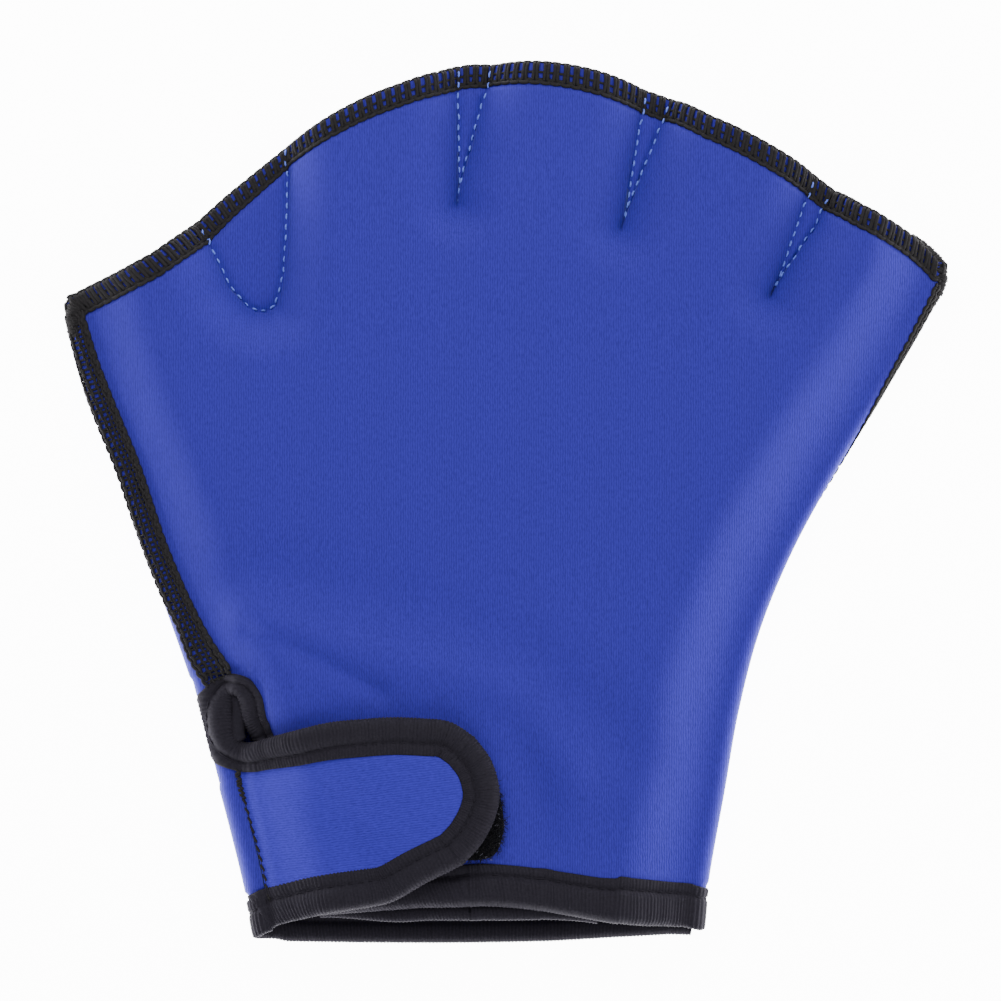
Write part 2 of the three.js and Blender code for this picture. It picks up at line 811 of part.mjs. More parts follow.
function wristStations(columns, layer) {
  return columns.map((column) => ({
    reach: tapeReach,
    place: (distance) => column.at(wristV(column, layer, distance)),
  }));
}

addPiece('finger_edge_overlock_back', wrapGeometry(edgeStations(back, 'back'), overlock), blackThread);
addPiece('finger_edge_overlock_front', wrapGeometry(edgeStations(front, 'front'), overlock), blackThread);
addPiece('wrist_binding_back', wrapGeometry(wristStations(back, 'back'), tape), blackTape);
const frontBound = front.filter((column) => column.past === undefined || column.past > lipTapeReach);
addPiece('wrist_binding_front', wrapGeometry(wristStations(frontBound, 'front'), tape), blackTape);

// Tape round the slit: up the front layer's edge, over the closed end, down the back layer's edge
function slitStations() {
  const lowest = wristV({ u: 0 }, 'front', tapeReach + fullBeyond);
  const stations = [];
  const push = (column, v, angle, reach) => {
    const sign = column === 'front' ? 1 : -1;
    const heightAt = column === 'front' ? frontHeight : topHeight;
    const start = seamDistance(column, v);
    const rise = palmShare / distanceBetween(wristPoint(0), tipPoint(0));
    stations.push({
      reach,
      place: (distance) => sidePoint(
        -1,
        heightAt,
        v + distance * Math.sin(angle) * rise,
        start + sign * distance * Math.cos(angle),
      ),
    });
  };
  push('front', lowest, 0, lipTapeReach);
  const lipHeights = slitRows.filter((y) => y <= slitTop - slitHalfWidth);
  for (const y of lipHeights) {
    push('front', vAtHeight(y), 0, lipTapeReach);
  }
  const quarter = slitHalfWidth * (1 - Math.SQRT1_2);
  push('front', vAtHeight(slitTop - quarter), Math.PI / 4, mix(lipTapeReach, archTapeReach, 0.7));
  push('back', vAtHeight(slitTop), Math.PI / 2, archTapeReach);
  push('back', vAtHeight(slitTop - quarter), Math.PI / 4, mix(thumbLipReach, archTapeReach, 0.7));
  for (const y of lipHeights.filter((height) => height > slitCorner).reverse()) {
    push('back', vAtHeight(y), 0, thumbLipReach);
  }
  push('back', vAtHeight(slitCorner + halfTape), 0, thumbLipReach);
  return stations;
}

addPiece('slit_binding', wrapGeometry(slitStations(), { ...tape, steps: [0, 0.5, 0.75, 1] }), blackTape);

// Seam bands laid over the side seams
function seamBand(side, distanceAt, width, steps, from, to) {
  const rows = rowsOf(back[side < 0 ? 0 : back.length - 1], 'back').filter((v) => v > from && v < to);
  const grid = [];
  for (let i = 0; i <= steps; i += 1) {
    grid.push([from, ...rows, to].map((v) => {
      const distance = distanceAt(v) + (i / steps - 0.5) * width;
      const place = sidePoint(side, topHeight, v, distance);
      const low = halfFabric + threadClearance;
      return { ...place, low, high: low + seamWall };
    }));
  }
  return shellGeometry(grid);
}

const thumbSeamMiddle = (v) => (seamDistance('front', v) + seamDistance('back', v)) / 2;
const seamTop = (u) => belowEdge(u, 1, overlockReach + 2 * clearance);
addPiece('thumb_side_seam', seamBand(-1, thumbSeamMiddle, thumbSeamWidth, 6,
  vAtHeight(slitTop + archTapeReach + 3 * clearance), seamTop(0)), blackThread);
addPiece('little_finger_side_seam', seamBand(1, (v) => -littleSeamDistance(v), littleSeamWidth, 4,
  aboveWrist(1, 0, tapeReach + 2 * clearance), seamTop(1)), blackThread);

// The strap, from its root at the back layer's edge to its round tip
function strapHeight(x, y) {
  const root = rootX(y);
  const over = smooth((x - root) / strapRun);
  return mix(topHeight(x, y), frontHeight(x, y) + strapRise, over);
}

function rootX(y) {
  const side = sideAt(-1, y);
  const inset = tableAt(thumbSeam, 'back', y / gloveLength) * gloveWidth - slitHalfWidth;
  return side.x + (inset - foldRadius(-1, y) - halfFabric) / side.cos + clearance;
}

function curveThrough(places) {
  const curve = new THREE.CatmullRomCurve3(places.map(({ x, y }) => new THREE.Vector3(x, y, 0)));
  return (q) => curve.getPointAt(q);
}

const rootTop = slitCorner;
const rootBottom = placeOf(strapBottom[0]).y - gloveLength * 0.005;
const strapCorner = { x: rootX(rootTop), y: rootTop };
const strapFoot = { x: rootX(rootBottom), y: rootBottom };
const topEdge = curveThrough([strapCorner, ...strapTop.map(placeOf)]);
const tipEdge = curveThrough(strapTip.map(placeOf));
const bottomEdge = curveThrough([strapFoot, ...strapBottom.map(placeOf)]);

function strapPlace(p, q) {
  const rootY = mix(rootBottom, rootTop, q);
  const root = { x: rootX(rootY), y: rootY };
  const tip = tipEdge(1 - q);
  const bottom = bottomEdge(p);
  const top = topEdge(p);
  const corners = { a: strapFoot, b: tipEdge(1), c: strapCorner, d: tipEdge(0) };
  const blend = (axis) => mix(root[axis], tip[axis], p) + mix(bottom[axis], top[axis], q)
    - mix(mix(corners.a[axis], corners.b[axis], p), mix(corners.c[axis], corners.d[axis], p), q);
  return { x: blend('x'), y: blend('y') };
}

const strapEdge = [];
const edgeSteps = 24;
for (let i = 0; i <= edgeSteps; i += 1) {
  strapEdge.push(topEdge(i / edgeSteps));
}
for (let i = 1; i <= edgeSteps; i += 1) {
  strapEdge.push(tipEdge(i / edgeSteps));
}
for (let i = 1; i <= edgeSteps; i += 1) {
  strapEdge.push(bottomEdge(1 - i / edgeSteps));
}

const strapAlong = [0, 0.06, 0.13, 0.25, 0.38, 0.5, 0.62, 0.73, 0.84, 0.875, 0.94, 1];
const strapAcross = [0, 0.08, 0.15, 0.19, 0.35, 0.5, 0.65, 0.81, 0.85, 0.92, 1];

const strapGrid = strapAlong.map((p) => strapAcross.map((q) => {
  const { x, y } = strapPlace(p, q);
  const half = thinned(lineDistance(x, y, strapEdge), tapeReach, tapedFabric / 2);
  return { ...heightPoint(strapHeight, x, y), low: -half, high: half };
}));
addPiece('wrist_strap', shellGeometry(strapGrid), strapBlue);

function strapStations() {
  const outline = [
    ...strapAlong.map((p) => ({ p, q: 0 })),
    ...strapAcross.slice(1, -1).map((q) => ({ p: 1, q })),
    ...[...strapAlong].reverse().map((p) => ({ p, q: 1 })),
  ];
  const places = outline.map(({ p, q }) => strapPlace(p, q));
  return places.map((at, i) => {
    const before = places[Math.max(i - 1, 0)];
    const after = places[Math.min(i + 1, places.length - 1)];
    const length = distanceBetween(before, after);
    const inward = { x: -(after.y - before.y) / length, y: (after.x - before.x) / length };
    if (outline[i].p === 0) {
      const up = i === 0 ? 1 : -1;
      return {
        reach: tapeReach,
        place: (distance) => heightPoint(strapHeight, rootX(at.y + up * distance), at.y + up * distance),
      };
    }
    return {
      reach: tapeReach,
      place: (distance) => heightPoint(strapHeight, at.x + inward.x * distance, at.y + inward.y * distance),
    };
  });
}

addPiece('strap_binding', wrapGeometry(strapStations(), tape), blackTape);

// The pile patch on the front layer, under the strap's tip
function patchGeometry() {
  const outline = patchOutline.map(placeOf);
  const edge = curveThrough([...outline, outline[0]]);
  const middle = { x: mix(outline[0].x, outline[5].x, 0.5), y: mix(outline[8].y, outline[2].y, 0.5) };
  const grid = [];
  const around = 28;
  const rings = [1, 0.75, 0.5, 0.25];
  const places = rings.map((share) => {
    const ring = [];
    for (let i = 0; i < around; i += 1) {
      const at = edge(i / around);
      ring.push({ x: mix(middle.x, at.x, share), y: mix(middle.y, at.y, share) });
    }
    return ring;
  });
  grid.push(...places.map((ring) => ring.map(({ x, y }) => heightPoint(frontHeight, x, y))));
  const centre = heightPoint(frontHeight, middle.x, middle.y);
  const low = halfFabric + clearance;
  const high = low + patchWall;
  const positions = [];
  const indices = [];
  const add = ({ point, normal }, offset) => {
    positions.push(...point.clone().addScaledVector(normal, offset).toArray());
    return positions.length / 3 - 1;
  };
  const tops = grid.map((ring) => ring.map((place) => add(place, high)));
  const bottoms = grid.map((ring) => ring.map((place) => add(place, low)));
  const topCentre = add(centre, high);
  const bottomCentre = add(centre, low);
  for (let i = 0; i < around; i += 1) {
    const n = (i + 1) % around;
    indices.push(bottoms[0][i], bottoms[0][n], tops[0][n], bottoms[0][i], tops[0][n], tops[0][i]);
    for (let k = 0; k < rings.length - 1; k += 1) {
      indices.push(tops[k][i], tops[k][n], tops[k + 1][n], tops[k][i], tops[k + 1][n], tops[k + 1][i]);
      indices.push(bottoms[k][i], bottoms[k + 1][n], bottoms[k][n]);
      indices.push(bottoms[k][i], bottoms[k + 1][i], bottoms[k + 1][n]);
    }
    indices.push(tops.at(-1)[i], tops.at(-1)[n], topCentre);
    indices.push(bottoms.at(-1)[n], bottoms.at(-1)[i], bottomCentre);
  }
  return solidGeometry(positions, indices);
}

addPiece('closure_patch', patchGeometry(), blackPile);

// The origin is on the resting surface, under the middle of the glove
const bounds = new THREE.Box3().setFromObject(group);
const centre = bounds.getCenter(new THREE.Vector3());
group.position.set(-centre.x, -centre.y, -bounds.min.z);

export default group;
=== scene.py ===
"""A webbed swim glove lying flat, seen from straight above.

The shape functions work in millimetres, with y = 0 at the wrist; to_row() takes the places to the
row frame in metres.
"""

import math

import bpy
import numpy as np
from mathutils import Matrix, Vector


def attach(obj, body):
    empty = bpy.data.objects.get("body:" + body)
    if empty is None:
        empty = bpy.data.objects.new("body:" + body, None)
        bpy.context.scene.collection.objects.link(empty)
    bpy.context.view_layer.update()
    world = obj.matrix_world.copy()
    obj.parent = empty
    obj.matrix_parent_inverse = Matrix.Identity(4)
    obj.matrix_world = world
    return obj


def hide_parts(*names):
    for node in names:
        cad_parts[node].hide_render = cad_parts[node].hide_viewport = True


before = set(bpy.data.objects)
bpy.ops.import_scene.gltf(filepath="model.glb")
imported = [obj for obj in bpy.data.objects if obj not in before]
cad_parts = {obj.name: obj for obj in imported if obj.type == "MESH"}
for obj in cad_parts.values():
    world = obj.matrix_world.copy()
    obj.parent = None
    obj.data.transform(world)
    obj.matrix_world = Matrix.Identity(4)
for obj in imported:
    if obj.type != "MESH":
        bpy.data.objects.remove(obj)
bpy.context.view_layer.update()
rng = np.random.default_rng(7)

# Sizes of the glove, as in its frame
WIDTH = 202.5
LENGTH = 201.0
FABRIC = 2.0
PALM_HOLLOW = 8.0
WRIST_HOLLOW = 7.1
FINGER_HOLLOW = 7.2
WEB_GAP = 0.7
SIDE_GAP = 1.1
THUMB_WRIST_GAP = 4.4
LITTLE_WRIST_GAP = 2.6
SIDE_RUN = 18.0
WEB_RUN = 12.0
SIDE_LIFT = 1.1
WEB_LIFT = 0.6
FINGER_LIFT = 0.35
WRIST_RUN = 26.0
WRIST_LIFT = 1.0
FRONT_WRIST_STEP = 7.4
LIP_DROP = 3.4
LIP_RUN = 15.0
SLIT_TOP = 57.4
SLIT_CORNER = 44.6
SLIT_HALF = 1.5
STRAP_RUN = 3.6
STRAP_RISE = 4.3
PALM_SHARE = 0.79
LIP = 5.7
TAPE_REACH = 6.3
FRONT_TAPE_REACH = TAPE_REACH + 2.3
LIP_TAPE_REACH = 4.2
OVERLOCK_REACH = 4.4
SHIFT = np.array([0.085, -99.277, 0.0])

# Half the cloth's thickness: free, under tape and under thread, and how far it takes to swell again
HALF = FABRIC / 2
TAPED_HALF = 0.6
EDGED_HALF = 0.5
BEYOND = 1.5

# How far the cloth ends inside its tape, and at the front's hidden corner
TRIM = 0.9
CORNER_TRIM = 4.5

# How far the loop of tape at the slit's end reaches above the slit, in from the seam and below its corner
LOOP_UP = 3.1
LOOP_IN = 10.0
LOOP_DOWN = 7.6

# Pitches of the knit, the tape's ribs, the seams' threads and the webs' stitches, and how long those are
KNIT_PITCH = 0.55
RIB_PITCH = 0.8
THREAD_PITCH = 2.3
WEB_PITCH = 2.4
WEB_STITCH = 1.35

# How much coarser the hidden faces of the cloth are than the ones that show
INNER_STEP = 3

THUMB_SIDE = np.array([
    (-0.02, -0.279), (0.06, -0.295), (0.13, -0.312), (0.195, -0.329), (0.285, -0.352),
    (0.40, -0.392), (0.512, -0.4325), (0.626, -0.474), (0.722, -0.4985), (0.80, -0.51)])
LITTLE_SIDE = np.array([
    (-0.02, 0.222), (0.057, 0.229), (0.172, 0.249), (0.263, 0.265), (0.354, 0.289), (0.444, 0.326),
    (0.535, 0.375), (0.626, 0.429), (0.717, 0.481), (0.756, 0.4975), (0.80, 0.505)])
WRIST_THUMB_UP = 0.007
WRIST_LITTLE_UP = 0.022
WRIST_SAG = 0.004

# Edge across and up, tip across and up, wrist share, columns to the next leg, bulge, back step
LEGS = np.array([
    (-0.487, 0.735, -0.468, 0.66, 0, 38, -0.003, 0),
    (-0.345, 0.818, -0.302, 0.725, 0.20, 26, 0, 0),
    (-0.244, 0.900, -0.257, 0.722, 0.27, 46, 0.015, 0.008),
    (-0.056, 0.986, -0.0575, 0.839, 0.47, 11, 0, 0),
    (-0.013, 0.986, -0.0495, 0.839, 0.50, 40, 0.012, 0),
    (0.155, 0.957, 0.1275, 0.811, 0.64, 9, 0, 0),
    (0.188, 0.945, 0.1355, 0.811, 0.67, 38, 0.009, 0),
    (0.345, 0.863, 0.2955, 0.736, 0.81, 8, 0, 0),
    (0.368, 0.845, 0.3035, 0.735, 0.84, 30, 0.009, 0),
    (0.485, 0.768, 0.442, 0.69, 1, 0, 0, 0)])

# The thumb side seam's edges on the back and front layers, which share their upper rows
SHARED_SEAM = [
    (0.24, 0.0475), (0.285, 0.048), (0.31, 0.0425), (0.36, 0.029), (0.42, 0.0225), (0.60, 0.0165),
    (0.74, 0.0045), (0.80, 0.0035)]
THUMB_SEAM_BACK = np.array([
    (0.00, 0.031), (0.045, 0.031), (0.10, 0.032), (0.16, 0.033), (0.195, 0.036),
    (0.222, 0.0445)] + SHARED_SEAM)
THUMB_SEAM_FRONT = np.array([
    (0.00, 0.152), (0.045, 0.142), (0.10, 0.115), (0.16, 0.082), (0.195, 0.062),
    (0.222, 0.051)] + SHARED_SEAM)
LITTLE_SEAM = np.array([(0, 0.85), (0.4, 0.65), (0.76, 0.2)])

# The stitched outlines of the four webs, from the top of the left leg round to the top of the right
WEB_LINES = [
    [(-71.2, 164.6), (-69.9, 162.6), (-68.1, 160.0), (-66.2, 155.5), (-63.5, 149.5), (-59.3, 144.8),
     (-57.0, 143.6), (-54.8, 143.5), (-52.3, 144.8), (-51.1, 148.6), (-50.1, 153.0), (-49.6, 160.9),
     (-49.4, 168.3), (-49.1, 175.8), (-49.5, 180.9), (-49.6, 183.0)],
    [(-11.4, 201.2), (-11.3, 199.2), (-11.0, 188.1), (-11.1, 178.3), (-10.8, 168.3), (-10.3, 172.3),
     (-7.6, 180.7), (-4.9, 191.6), (-2.6, 199.0), (-2.0, 201.2)],
    [(31.8, 195.4), (31.5, 193.2), (30.2, 185.9), (28.3, 173.7), (26.7, 162.9), (29.4, 169.6),
     (32.0, 176.6), (35.5, 185.1), (38.1, 190.8), (38.9, 192.6)],
    [(71.0, 176.3), (70.0, 174.1), (67.9, 168.7), (65.8, 162.1), (63.8, 156.2), (60.8, 147.5),
     (64.3, 153.0), (68.0, 158.5), (71.3, 162.8), (74.7, 169.5), (75.8, 171.6)]]

# Soft folds of the front: a bent line, how far it reaches and how much it raises the cloth
FOLDS = [
    ([(-58, 83.4), (-40, 79.5), (-15, 73.4), (2, 66.4), (13, 58.4), (26, 45.4)], 8.0, -1.3),
    ([(-60, 74.4), (-42, 69.9), (-25, 65.4), (-5, 59.4), (6, 50.4), (14, 38.4)], 6.0, 1.1),
    ([(-58.1, 71.1), (-46.7, 66.5), (-28.5, 57.4)], 2.6, -1.0),
    ([(2, 50), (7, 38), (8, 26)], 6.0, -1.1)]

STRAP_TOP = [(-0.2696, 0.2246), (-0.2247, 0.2326), (-0.1837, 0.2425), (-0.1432, 0.2480),
             (-0.1017, 0.2500), (-0.0642, 0.2460), (-0.0380, 0.2299)]
STRAP_TIP = [(-0.0380, 0.2299), (-0.0202, 0.2045), (-0.0119, 0.1726), (-0.0165, 0.1450),
             (-0.0310, 0.1170), (-0.0504, 0.0950)]
STRAP_BOTTOM = [(-0.2519, 0.0174), (-0.2247, 0.0300), (-0.1975, 0.0368), (-0.1565, 0.0438),
                (-0.1264, 0.0517), (-0.0909, 0.0736), (-0.0504, 0.0950)]
PATCH = [(-0.132, 0.106), (-0.146, 0.212), (-0.050, 0.226), (-0.0300, 0.2140), (-0.0165, 0.1940),
         (-0.0050, 0.1600), (-0.0034, 0.1240), (-0.0190, 0.0965), (-0.080, 0.0965)]

# How far the thread at the finger edge, and the tape at the back wrist edge, reach past the cloth
EDGE_GROWTH = np.array([
    (-101.0, -0.6), (-90.0, -1.1), (-81.0, -1.5), (-72.0, -0.6), (-63.0, 0.2), (-49.0, 0.4),
    (-24.0, -0.1), (-15.0, 0.5), (-8.0, 1.7), (40.0, 1.8), (46.5, 0.7), (60.5, 0.9), (67.5, 1.3),
    (75.5, 1.2), (81.0, 0.3), (86.5, 0.5), (92.5, 1.1), (96.5, 1.2), (101.0, 0.6)])
WRIST_GROWTH = np.array([
    (-60.0, 0.0), (-50.0, 0.7), (-35.0, 1.1), (-12.0, 1.6), (10.0, 2.0), (26.0, 1.9), (38.0, 1.9),
    (42.0, 2.3), (47.0, 2.8)])

# Place across, width of the front wrist tape and how far its edge moves in, with the little fold last
FRONT_TAPE = np.array([
    (8.0, 1.0, 0.0), (14.0, 1.08, 0.0), (20.0, 1.16, 0.0), (28.0, 1.14, 0.3), (34.0, 1.1, 0.4),
    (40.0, 1.09, 0.1), (43.0, 1.09, -0.4), (45.0, 1.07, -0.8), (46.0, 1.02, -0.3), (47.0, 0.93, 0.6)])
FOLD_START = 43.0
FOLD_END = 47.0

# The tape's edge up the slit, round its end and into the strap: place, width and share on the strap
TAPE_LOOP = np.array([
    (-57.9, 49.0, 0.72, 0), (-58.9, 51.7, 0.76, 0), (-59.3, 54.5, 0.74, 0), (-60.0, 56.3, 0.64, 0.1),
    (-61.1, 57.1, 0.58, 0.5), (-62.2, 56.5, 0.85, 0.9), (-62.8, 54.7, 1.15, 1),
    (-62.9, 52.2, 1.22, 1), (-62.8, 50.1, 1.22, 1), (-62.7, 48.1, 1.15, 1), (-62.1, 46.1, 1.02, 1),
    (-60.8, 44.8, 0.92, 1), (-58.1, 44.3, 0.88, 1), (-54.5, 45.3, 0.95, 1), (-47.9, 47.2, 1.08, 1),
    (-39.9, 49.2, 1.16, 1), (-31.9, 50.0, 1.17, 1), (-24.6, 50.4, 1.17, 1)])
SLIT_HIDDEN_TOP = 46.0

# How far the front wrist tape runs on under the strap, and how far along its lower half shows
TAPE_RUN_ON = 24.0
UNDER_END = 41.0


# Curves and blends

def mix(a, b, q):
    return a + (b - a) * q


def smooth(q):
    c = np.clip(q, 0, 1)
    return c * c * (3 - 2 * c)


def unit(v):
    return v / np.maximum(np.linalg.norm(v, axis=-1, keepdims=True), 1e-9)


def table_at(table, up):
    ups, values = table[:, 0], table[:, 1]
    last = len(ups) - 1
    k = np.searchsorted(ups[1:last], up, side="left")
    before = np.maximum(np.arange(last + 1) - 1, 0)
    after = np.minimum(np.arange(last + 1) + 1, last)
    slopes = (values[after] - values[before]) / (ups[after] - ups[before])
    step = ups[k + 1] - ups[k]
    q = (up - ups[k]) / step
    c = np.clip(q, 0, 1)
    c2, c3 = c * c, c * c * c
    curve = (values[k] * (2 * c3 - 3 * c2 + 1) + slopes[k] * step * (c3 - 2 * c2 + c)
             + values[k + 1] * (3 * c2 - 2 * c3) + slopes[k + 1] * step * (c3 - c2))
    outside = np.where(q < 0, slopes[k] * q, slopes[k + 1] * np.maximum(q - 1, 0))
    return curve + outside * step


def distances(line):
    """How far along a line each of its points lies."""
    return np.concatenate([[0], np.cumsum(np.linalg.norm(np.diff(line, axis=0), axis=1))])


def through(places, count, closed=False):
    """Evenly spaced points on a smooth curve through the places, in plan."""
    p = np.array(places, float)
    if closed:
        p = np.vstack([p[-1], p, p[0], p[1]])
    else:
        p = np.vstack([2 * p[0] - p[1], p, 2 * p[-1] - p[-2]])
    q = np.linspace(0, 1, 25)[:-1, None]
    parts = []
    for a, b, c, d in zip(p[:-3], p[1:-2], p[2:-1], p[3:]):
        parts.append(0.5 * (2 * b + (c - a) * q + (2 * a - 5 * b + 4 * c - d) * q ** 2
                            + (3 * b - a - 3 * c + d) * q ** 3))
    line = np.vstack(parts + [p[-2][None]])
    far = distances(line)
    at = np.linspace(0, far[-1], count)
    return np.stack([np.interp(at, far, line[:, i]) for i in range(2)], axis=1)


def through_shares(shares, count, start=(), closed=False):
    """The same through places given as shares of the glove's width and length."""
    return through([*start, *((x * WIDTH, y * LENGTH) for x, y in shares)], count, closed)


def line_distance(x, y, line):
    nearest = np.full(np.shape(x), 1e9)
    for a, b in zip(line[:-1], line[1:]):
        dx, dy = b[0] - a[0], b[1] - a[1]
        q = np.clip(((x - a[0]) * dx + (y - a[1]) * dy) / (dx * dx + dy * dy), 0, 1)
        nearest = np.minimum(nearest, np.hypot(x - a[0] - q * dx, y - a[1] - q * dy))
    return nearest


def is_inside(x, y, outline):
    inside = np.zeros(np.shape(x), bool)
    for a, b in zip(outline, list(outline[1:]) + [outline[0]]):
        if a[1] == b[1]:
            continue
        crosses = ((a[1] > y) != (b[1] > y)) & (x < a[0] + (y - a[1]) / (b[1] - a[1]) * (b[0] - a[0]))
        inside ^= crosses
    return inside


# The glove's plan and heights

def fold_radius(side, y):
    wrist = 1 - smooth((y - SLIT_TOP) / (LENGTH * 0.16))
    return (FABRIC + mix(SIDE_GAP, THUMB_WRIST_GAP if side < 0 else LITTLE_WRIST_GAP, wrist)) / 2


def side_at(side, y):
    table = THUMB_SIDE if side < 0 else LITTLE_SIDE
    x = table_at(table, y / LENGTH) * WIDTH
    ahead = table_at(table, y / LENGTH + 0.01) * WIDTH
    cos = 1 / np.hypot(1, (ahead - x) / (0.01 * LENGTH))
    return x - side * (fold_radius(side, y) + HALF) / cos, cos


def leg_columns(u, *columns):
    scaled = np.clip(u, 0, 1) * (len(LEGS) - 1)
    k = np.minimum(scaled.astype(int), len(LEGS) - 2)
    q = scaled - k
    return [mix(LEGS[k, c], LEGS[k + 1, c], q) for c in columns] + [k, q]


def wrist_point(u):
    share, _, _ = leg_columns(u, 4)
    left = side_at(-1, np.array(WRIST_THUMB_UP * LENGTH))[0]
    right = side_at(1, np.array(WRIST_LITTLE_UP * LENGTH))[0]
    up = mix(WRIST_THUMB_UP, WRIST_LITTLE_UP, share) - WRIST_SAG * 4 * share * (1 - share)
    return mix(left, right, share), up * LENGTH


def tip_point(u):
    across, up, _, _ = leg_columns(u, 2, 3)
    return across * WIDTH, up * LENGTH


def edge_point(u):
    across, up, k, q = leg_columns(u, 0, 1)
    return across * WIDTH, (up + LEGS[k, 6] * 4 * q * (1 - q)) * LENGTH


def plan(u, v):
    in_palm = v < PALM_SHARE
    q = np.where(in_palm, v / PALM_SHARE, (v - PALM_SHARE) / (1 - PALM_SHARE))

    def both(at_u):
        tip = tip_point(at_u)
        wrist = wrist_point(at_u)
        edge = edge_point(at_u)
        start = [np.where(in_palm, w, t) for w, t in zip(wrist, tip)]
        end = [np.where(in_palm, t, e) for t, e in zip(tip, edge)]
        return start, end

    start, end = both(u)
    bows = []
    for side, at_u in ((-1, np.zeros_like(u)), (1, np.ones_like(u))):
        a, b = both(at_u)
        bows.append(side_at(side, mix(a[1], b[1], q))[0] - mix(a[0], b[0], q))
    x = mix(start[0], end[0], q) + bows[0] * (1 - u) ** 2 + bows[1] * u ** 2
    return x, mix(start[1], end[1], q)


def between(one, other):
    return np.hypot(other[0] - one[0], other[1] - one[1])


def palm_length(u):
    return between(wrist_point(u), tip_point(u))


def finger_length(u):
    return between(tip_point(u), edge_point(u))


def above_wrist(u, v, length):
    return v + length / palm_length(u) * PALM_SHARE


def below_edge(u, v, length):
    finger = finger_length(u)
    past = np.maximum(length - finger, 0)
    near = np.minimum(length, finger)
    return v - near / finger * (1 - PALM_SHARE) - past / palm_length(u) * PALM_SHARE


def across_at(side, v, distance):
    start = 0.0 if side < 0 else 1.0
    x0, y0 = plan(np.full_like(v, start), v)
    low, high = np.zeros_like(v), np.full_like(v, 0.6)
    for _ in range(18):
        middle = (low + high) / 2
        x, y = plan(np.abs(start - middle), v)
        nearer = np.hypot(x - x0, y - y0) < distance
        low = np.where(nearer, middle, low)
        high = np.where(nearer, high, middle)
    return np.abs(start - (low + high) / 2)


def openness(x, y):
    left, left_cos = side_at(-1, y)
    right, right_cos = side_at(1, y)
    opened = smooth((x - left) * left_cos / SIDE_RUN) * smooth((right - x) * right_cos / SIDE_RUN)
    share = np.clip((x - left) / (right - left), 0, 1)
    free = np.ones_like(x)
    for outline in WEB_LINES:
        distance = np.where(is_inside(x, y, outline), 0, line_distance(x, y, outline))
        free = free * (1 - (1 - np.clip(distance / WEB_RUN, 0, 1)) ** 2)
    return opened, free, share


def hollow_at(y):
    up = y / LENGTH
    lower = mix(WRIST_HOLLOW, PALM_HOLLOW, smooth(up / 0.35))
    return mix(lower, FINGER_HOLLOW, smooth((up - 0.55) / 0.45))


FOLD_LINES = [(through(line, 24), reach, height) for line, reach, height in FOLDS]


def fold_height(x, y):
    height = np.zeros_like(x)
    for line, reach, rise in FOLD_LINES:
        height = height + rise * np.exp(-(line_distance(x, y, line) / reach) ** 2)
    return height


def back_height(x, y):
    opened, free, _ = openness(x, y)
    wrist_lift = WRIST_LIFT * (1 - smooth(y / WRIST_RUN))
    edge_lift = FINGER_LIFT * smooth((y / LENGTH - 0.68) / 0.12)
    side = SIDE_LIFT * (1 - opened)
    return HALF + side + WEB_LIFT * (1 - free) + wrist_lift + np.maximum(edge_lift - side, 0)


def top_height(x, y):
    opened, free, share = openness(x, y)
    fold = mix(2 * fold_radius(-1, y), 2 * fold_radius(1, y), smooth(share)) - FABRIC
    gap = WEB_GAP + (fold - WEB_GAP) * free + hollow_at(y) * opened * free
    return back_height(x, y) + FABRIC + gap + fold_height(x, y) * opened * free


def skin_top(x, y):
    """The upper face of the glove's tube, round the thumb side too."""
    left, cos = side_at(-1, y)
    radius = fold_radius(-1, y)
    out = np.clip((left - x) * cos / radius, 0, 0.97)
    return top_height(np.maximum(x, left), y) - radius * (1 - np.sqrt(1 - out ** 2))


def front_edge_x(y):
    side, cos = side_at(-1, y)
    inset = table_at(THUMB_SEAM_FRONT, y / LENGTH) * WIDTH + SLIT_HALF
    return side + (inset - fold_radius(-1, y) - HALF) / cos


def front_height(x, y):
    past = np.maximum(x - front_edge_x(y), 0) / LIP_RUN
    below = smooth((SLIT_TOP - 1.5 * SLIT_HALF - y) / (SLIT_TOP - SLIT_CORNER))
    return top_height(x, y) - LIP_DROP * below * np.exp(-past * past)


def web_relief(x, y):
    """How the stitching of the webs presses and puffs the face of the cloth."""
    relief = np.zeros_like(x)
    for outline in WEB_LINES:
        distance = line_distance(x, y, outline)
        inside = is_inside(x, y, outline)
        puff = 0.5 * (1 - np.exp(-(distance / 1.6) ** 2))
        relief = relief + np.where(inside, puff, 0) - 0.55 * np.exp(-(distance / 0.8) ** 2)
    return relief


def height_point(height_at, x, y):
    step = 0.05
    sx = (height_at(x + step, y) - height_at(x - step, y)) / (2 * step)
    sy = (height_at(x, y + step) - height_at(x, y - step)) / (2 * step)
    normal = unit(np.stack([-sx, -sy, np.ones_like(sx)], axis=-1))
    return np.stack([x, y, height_at(x, y)], axis=-1), normal


def back_point(x, y):
    point, normal = height_point(back_height, x, y)
    return point, -normal


def fold_point(side, v, angle):
    u = np.full_like(v, 0.0 if side < 0 else 1.0)
    x, y = plan(u, v)
    ahead_x, ahead_y = plan(u, v + 0.004)
    along = unit(np.stack([ahead_x - x, ahead_y - y], axis=-1))
    radius = fold_radius(side, y)
    normal = np.stack([side * along[..., 1] * np.cos(angle), -side * along[..., 0] * np.cos(angle),
                       np.sin(angle)], axis=-1)
    middle = np.stack([x, y, back_height(x, y) + radius], axis=-1)
    return middle + normal * radius[..., None], normal


def quarter_at(side, v):
    y = plan(np.full_like(v, 0.0 if side < 0 else 1.0), v)[1]
    return fold_radius(side, y) * math.pi / 2


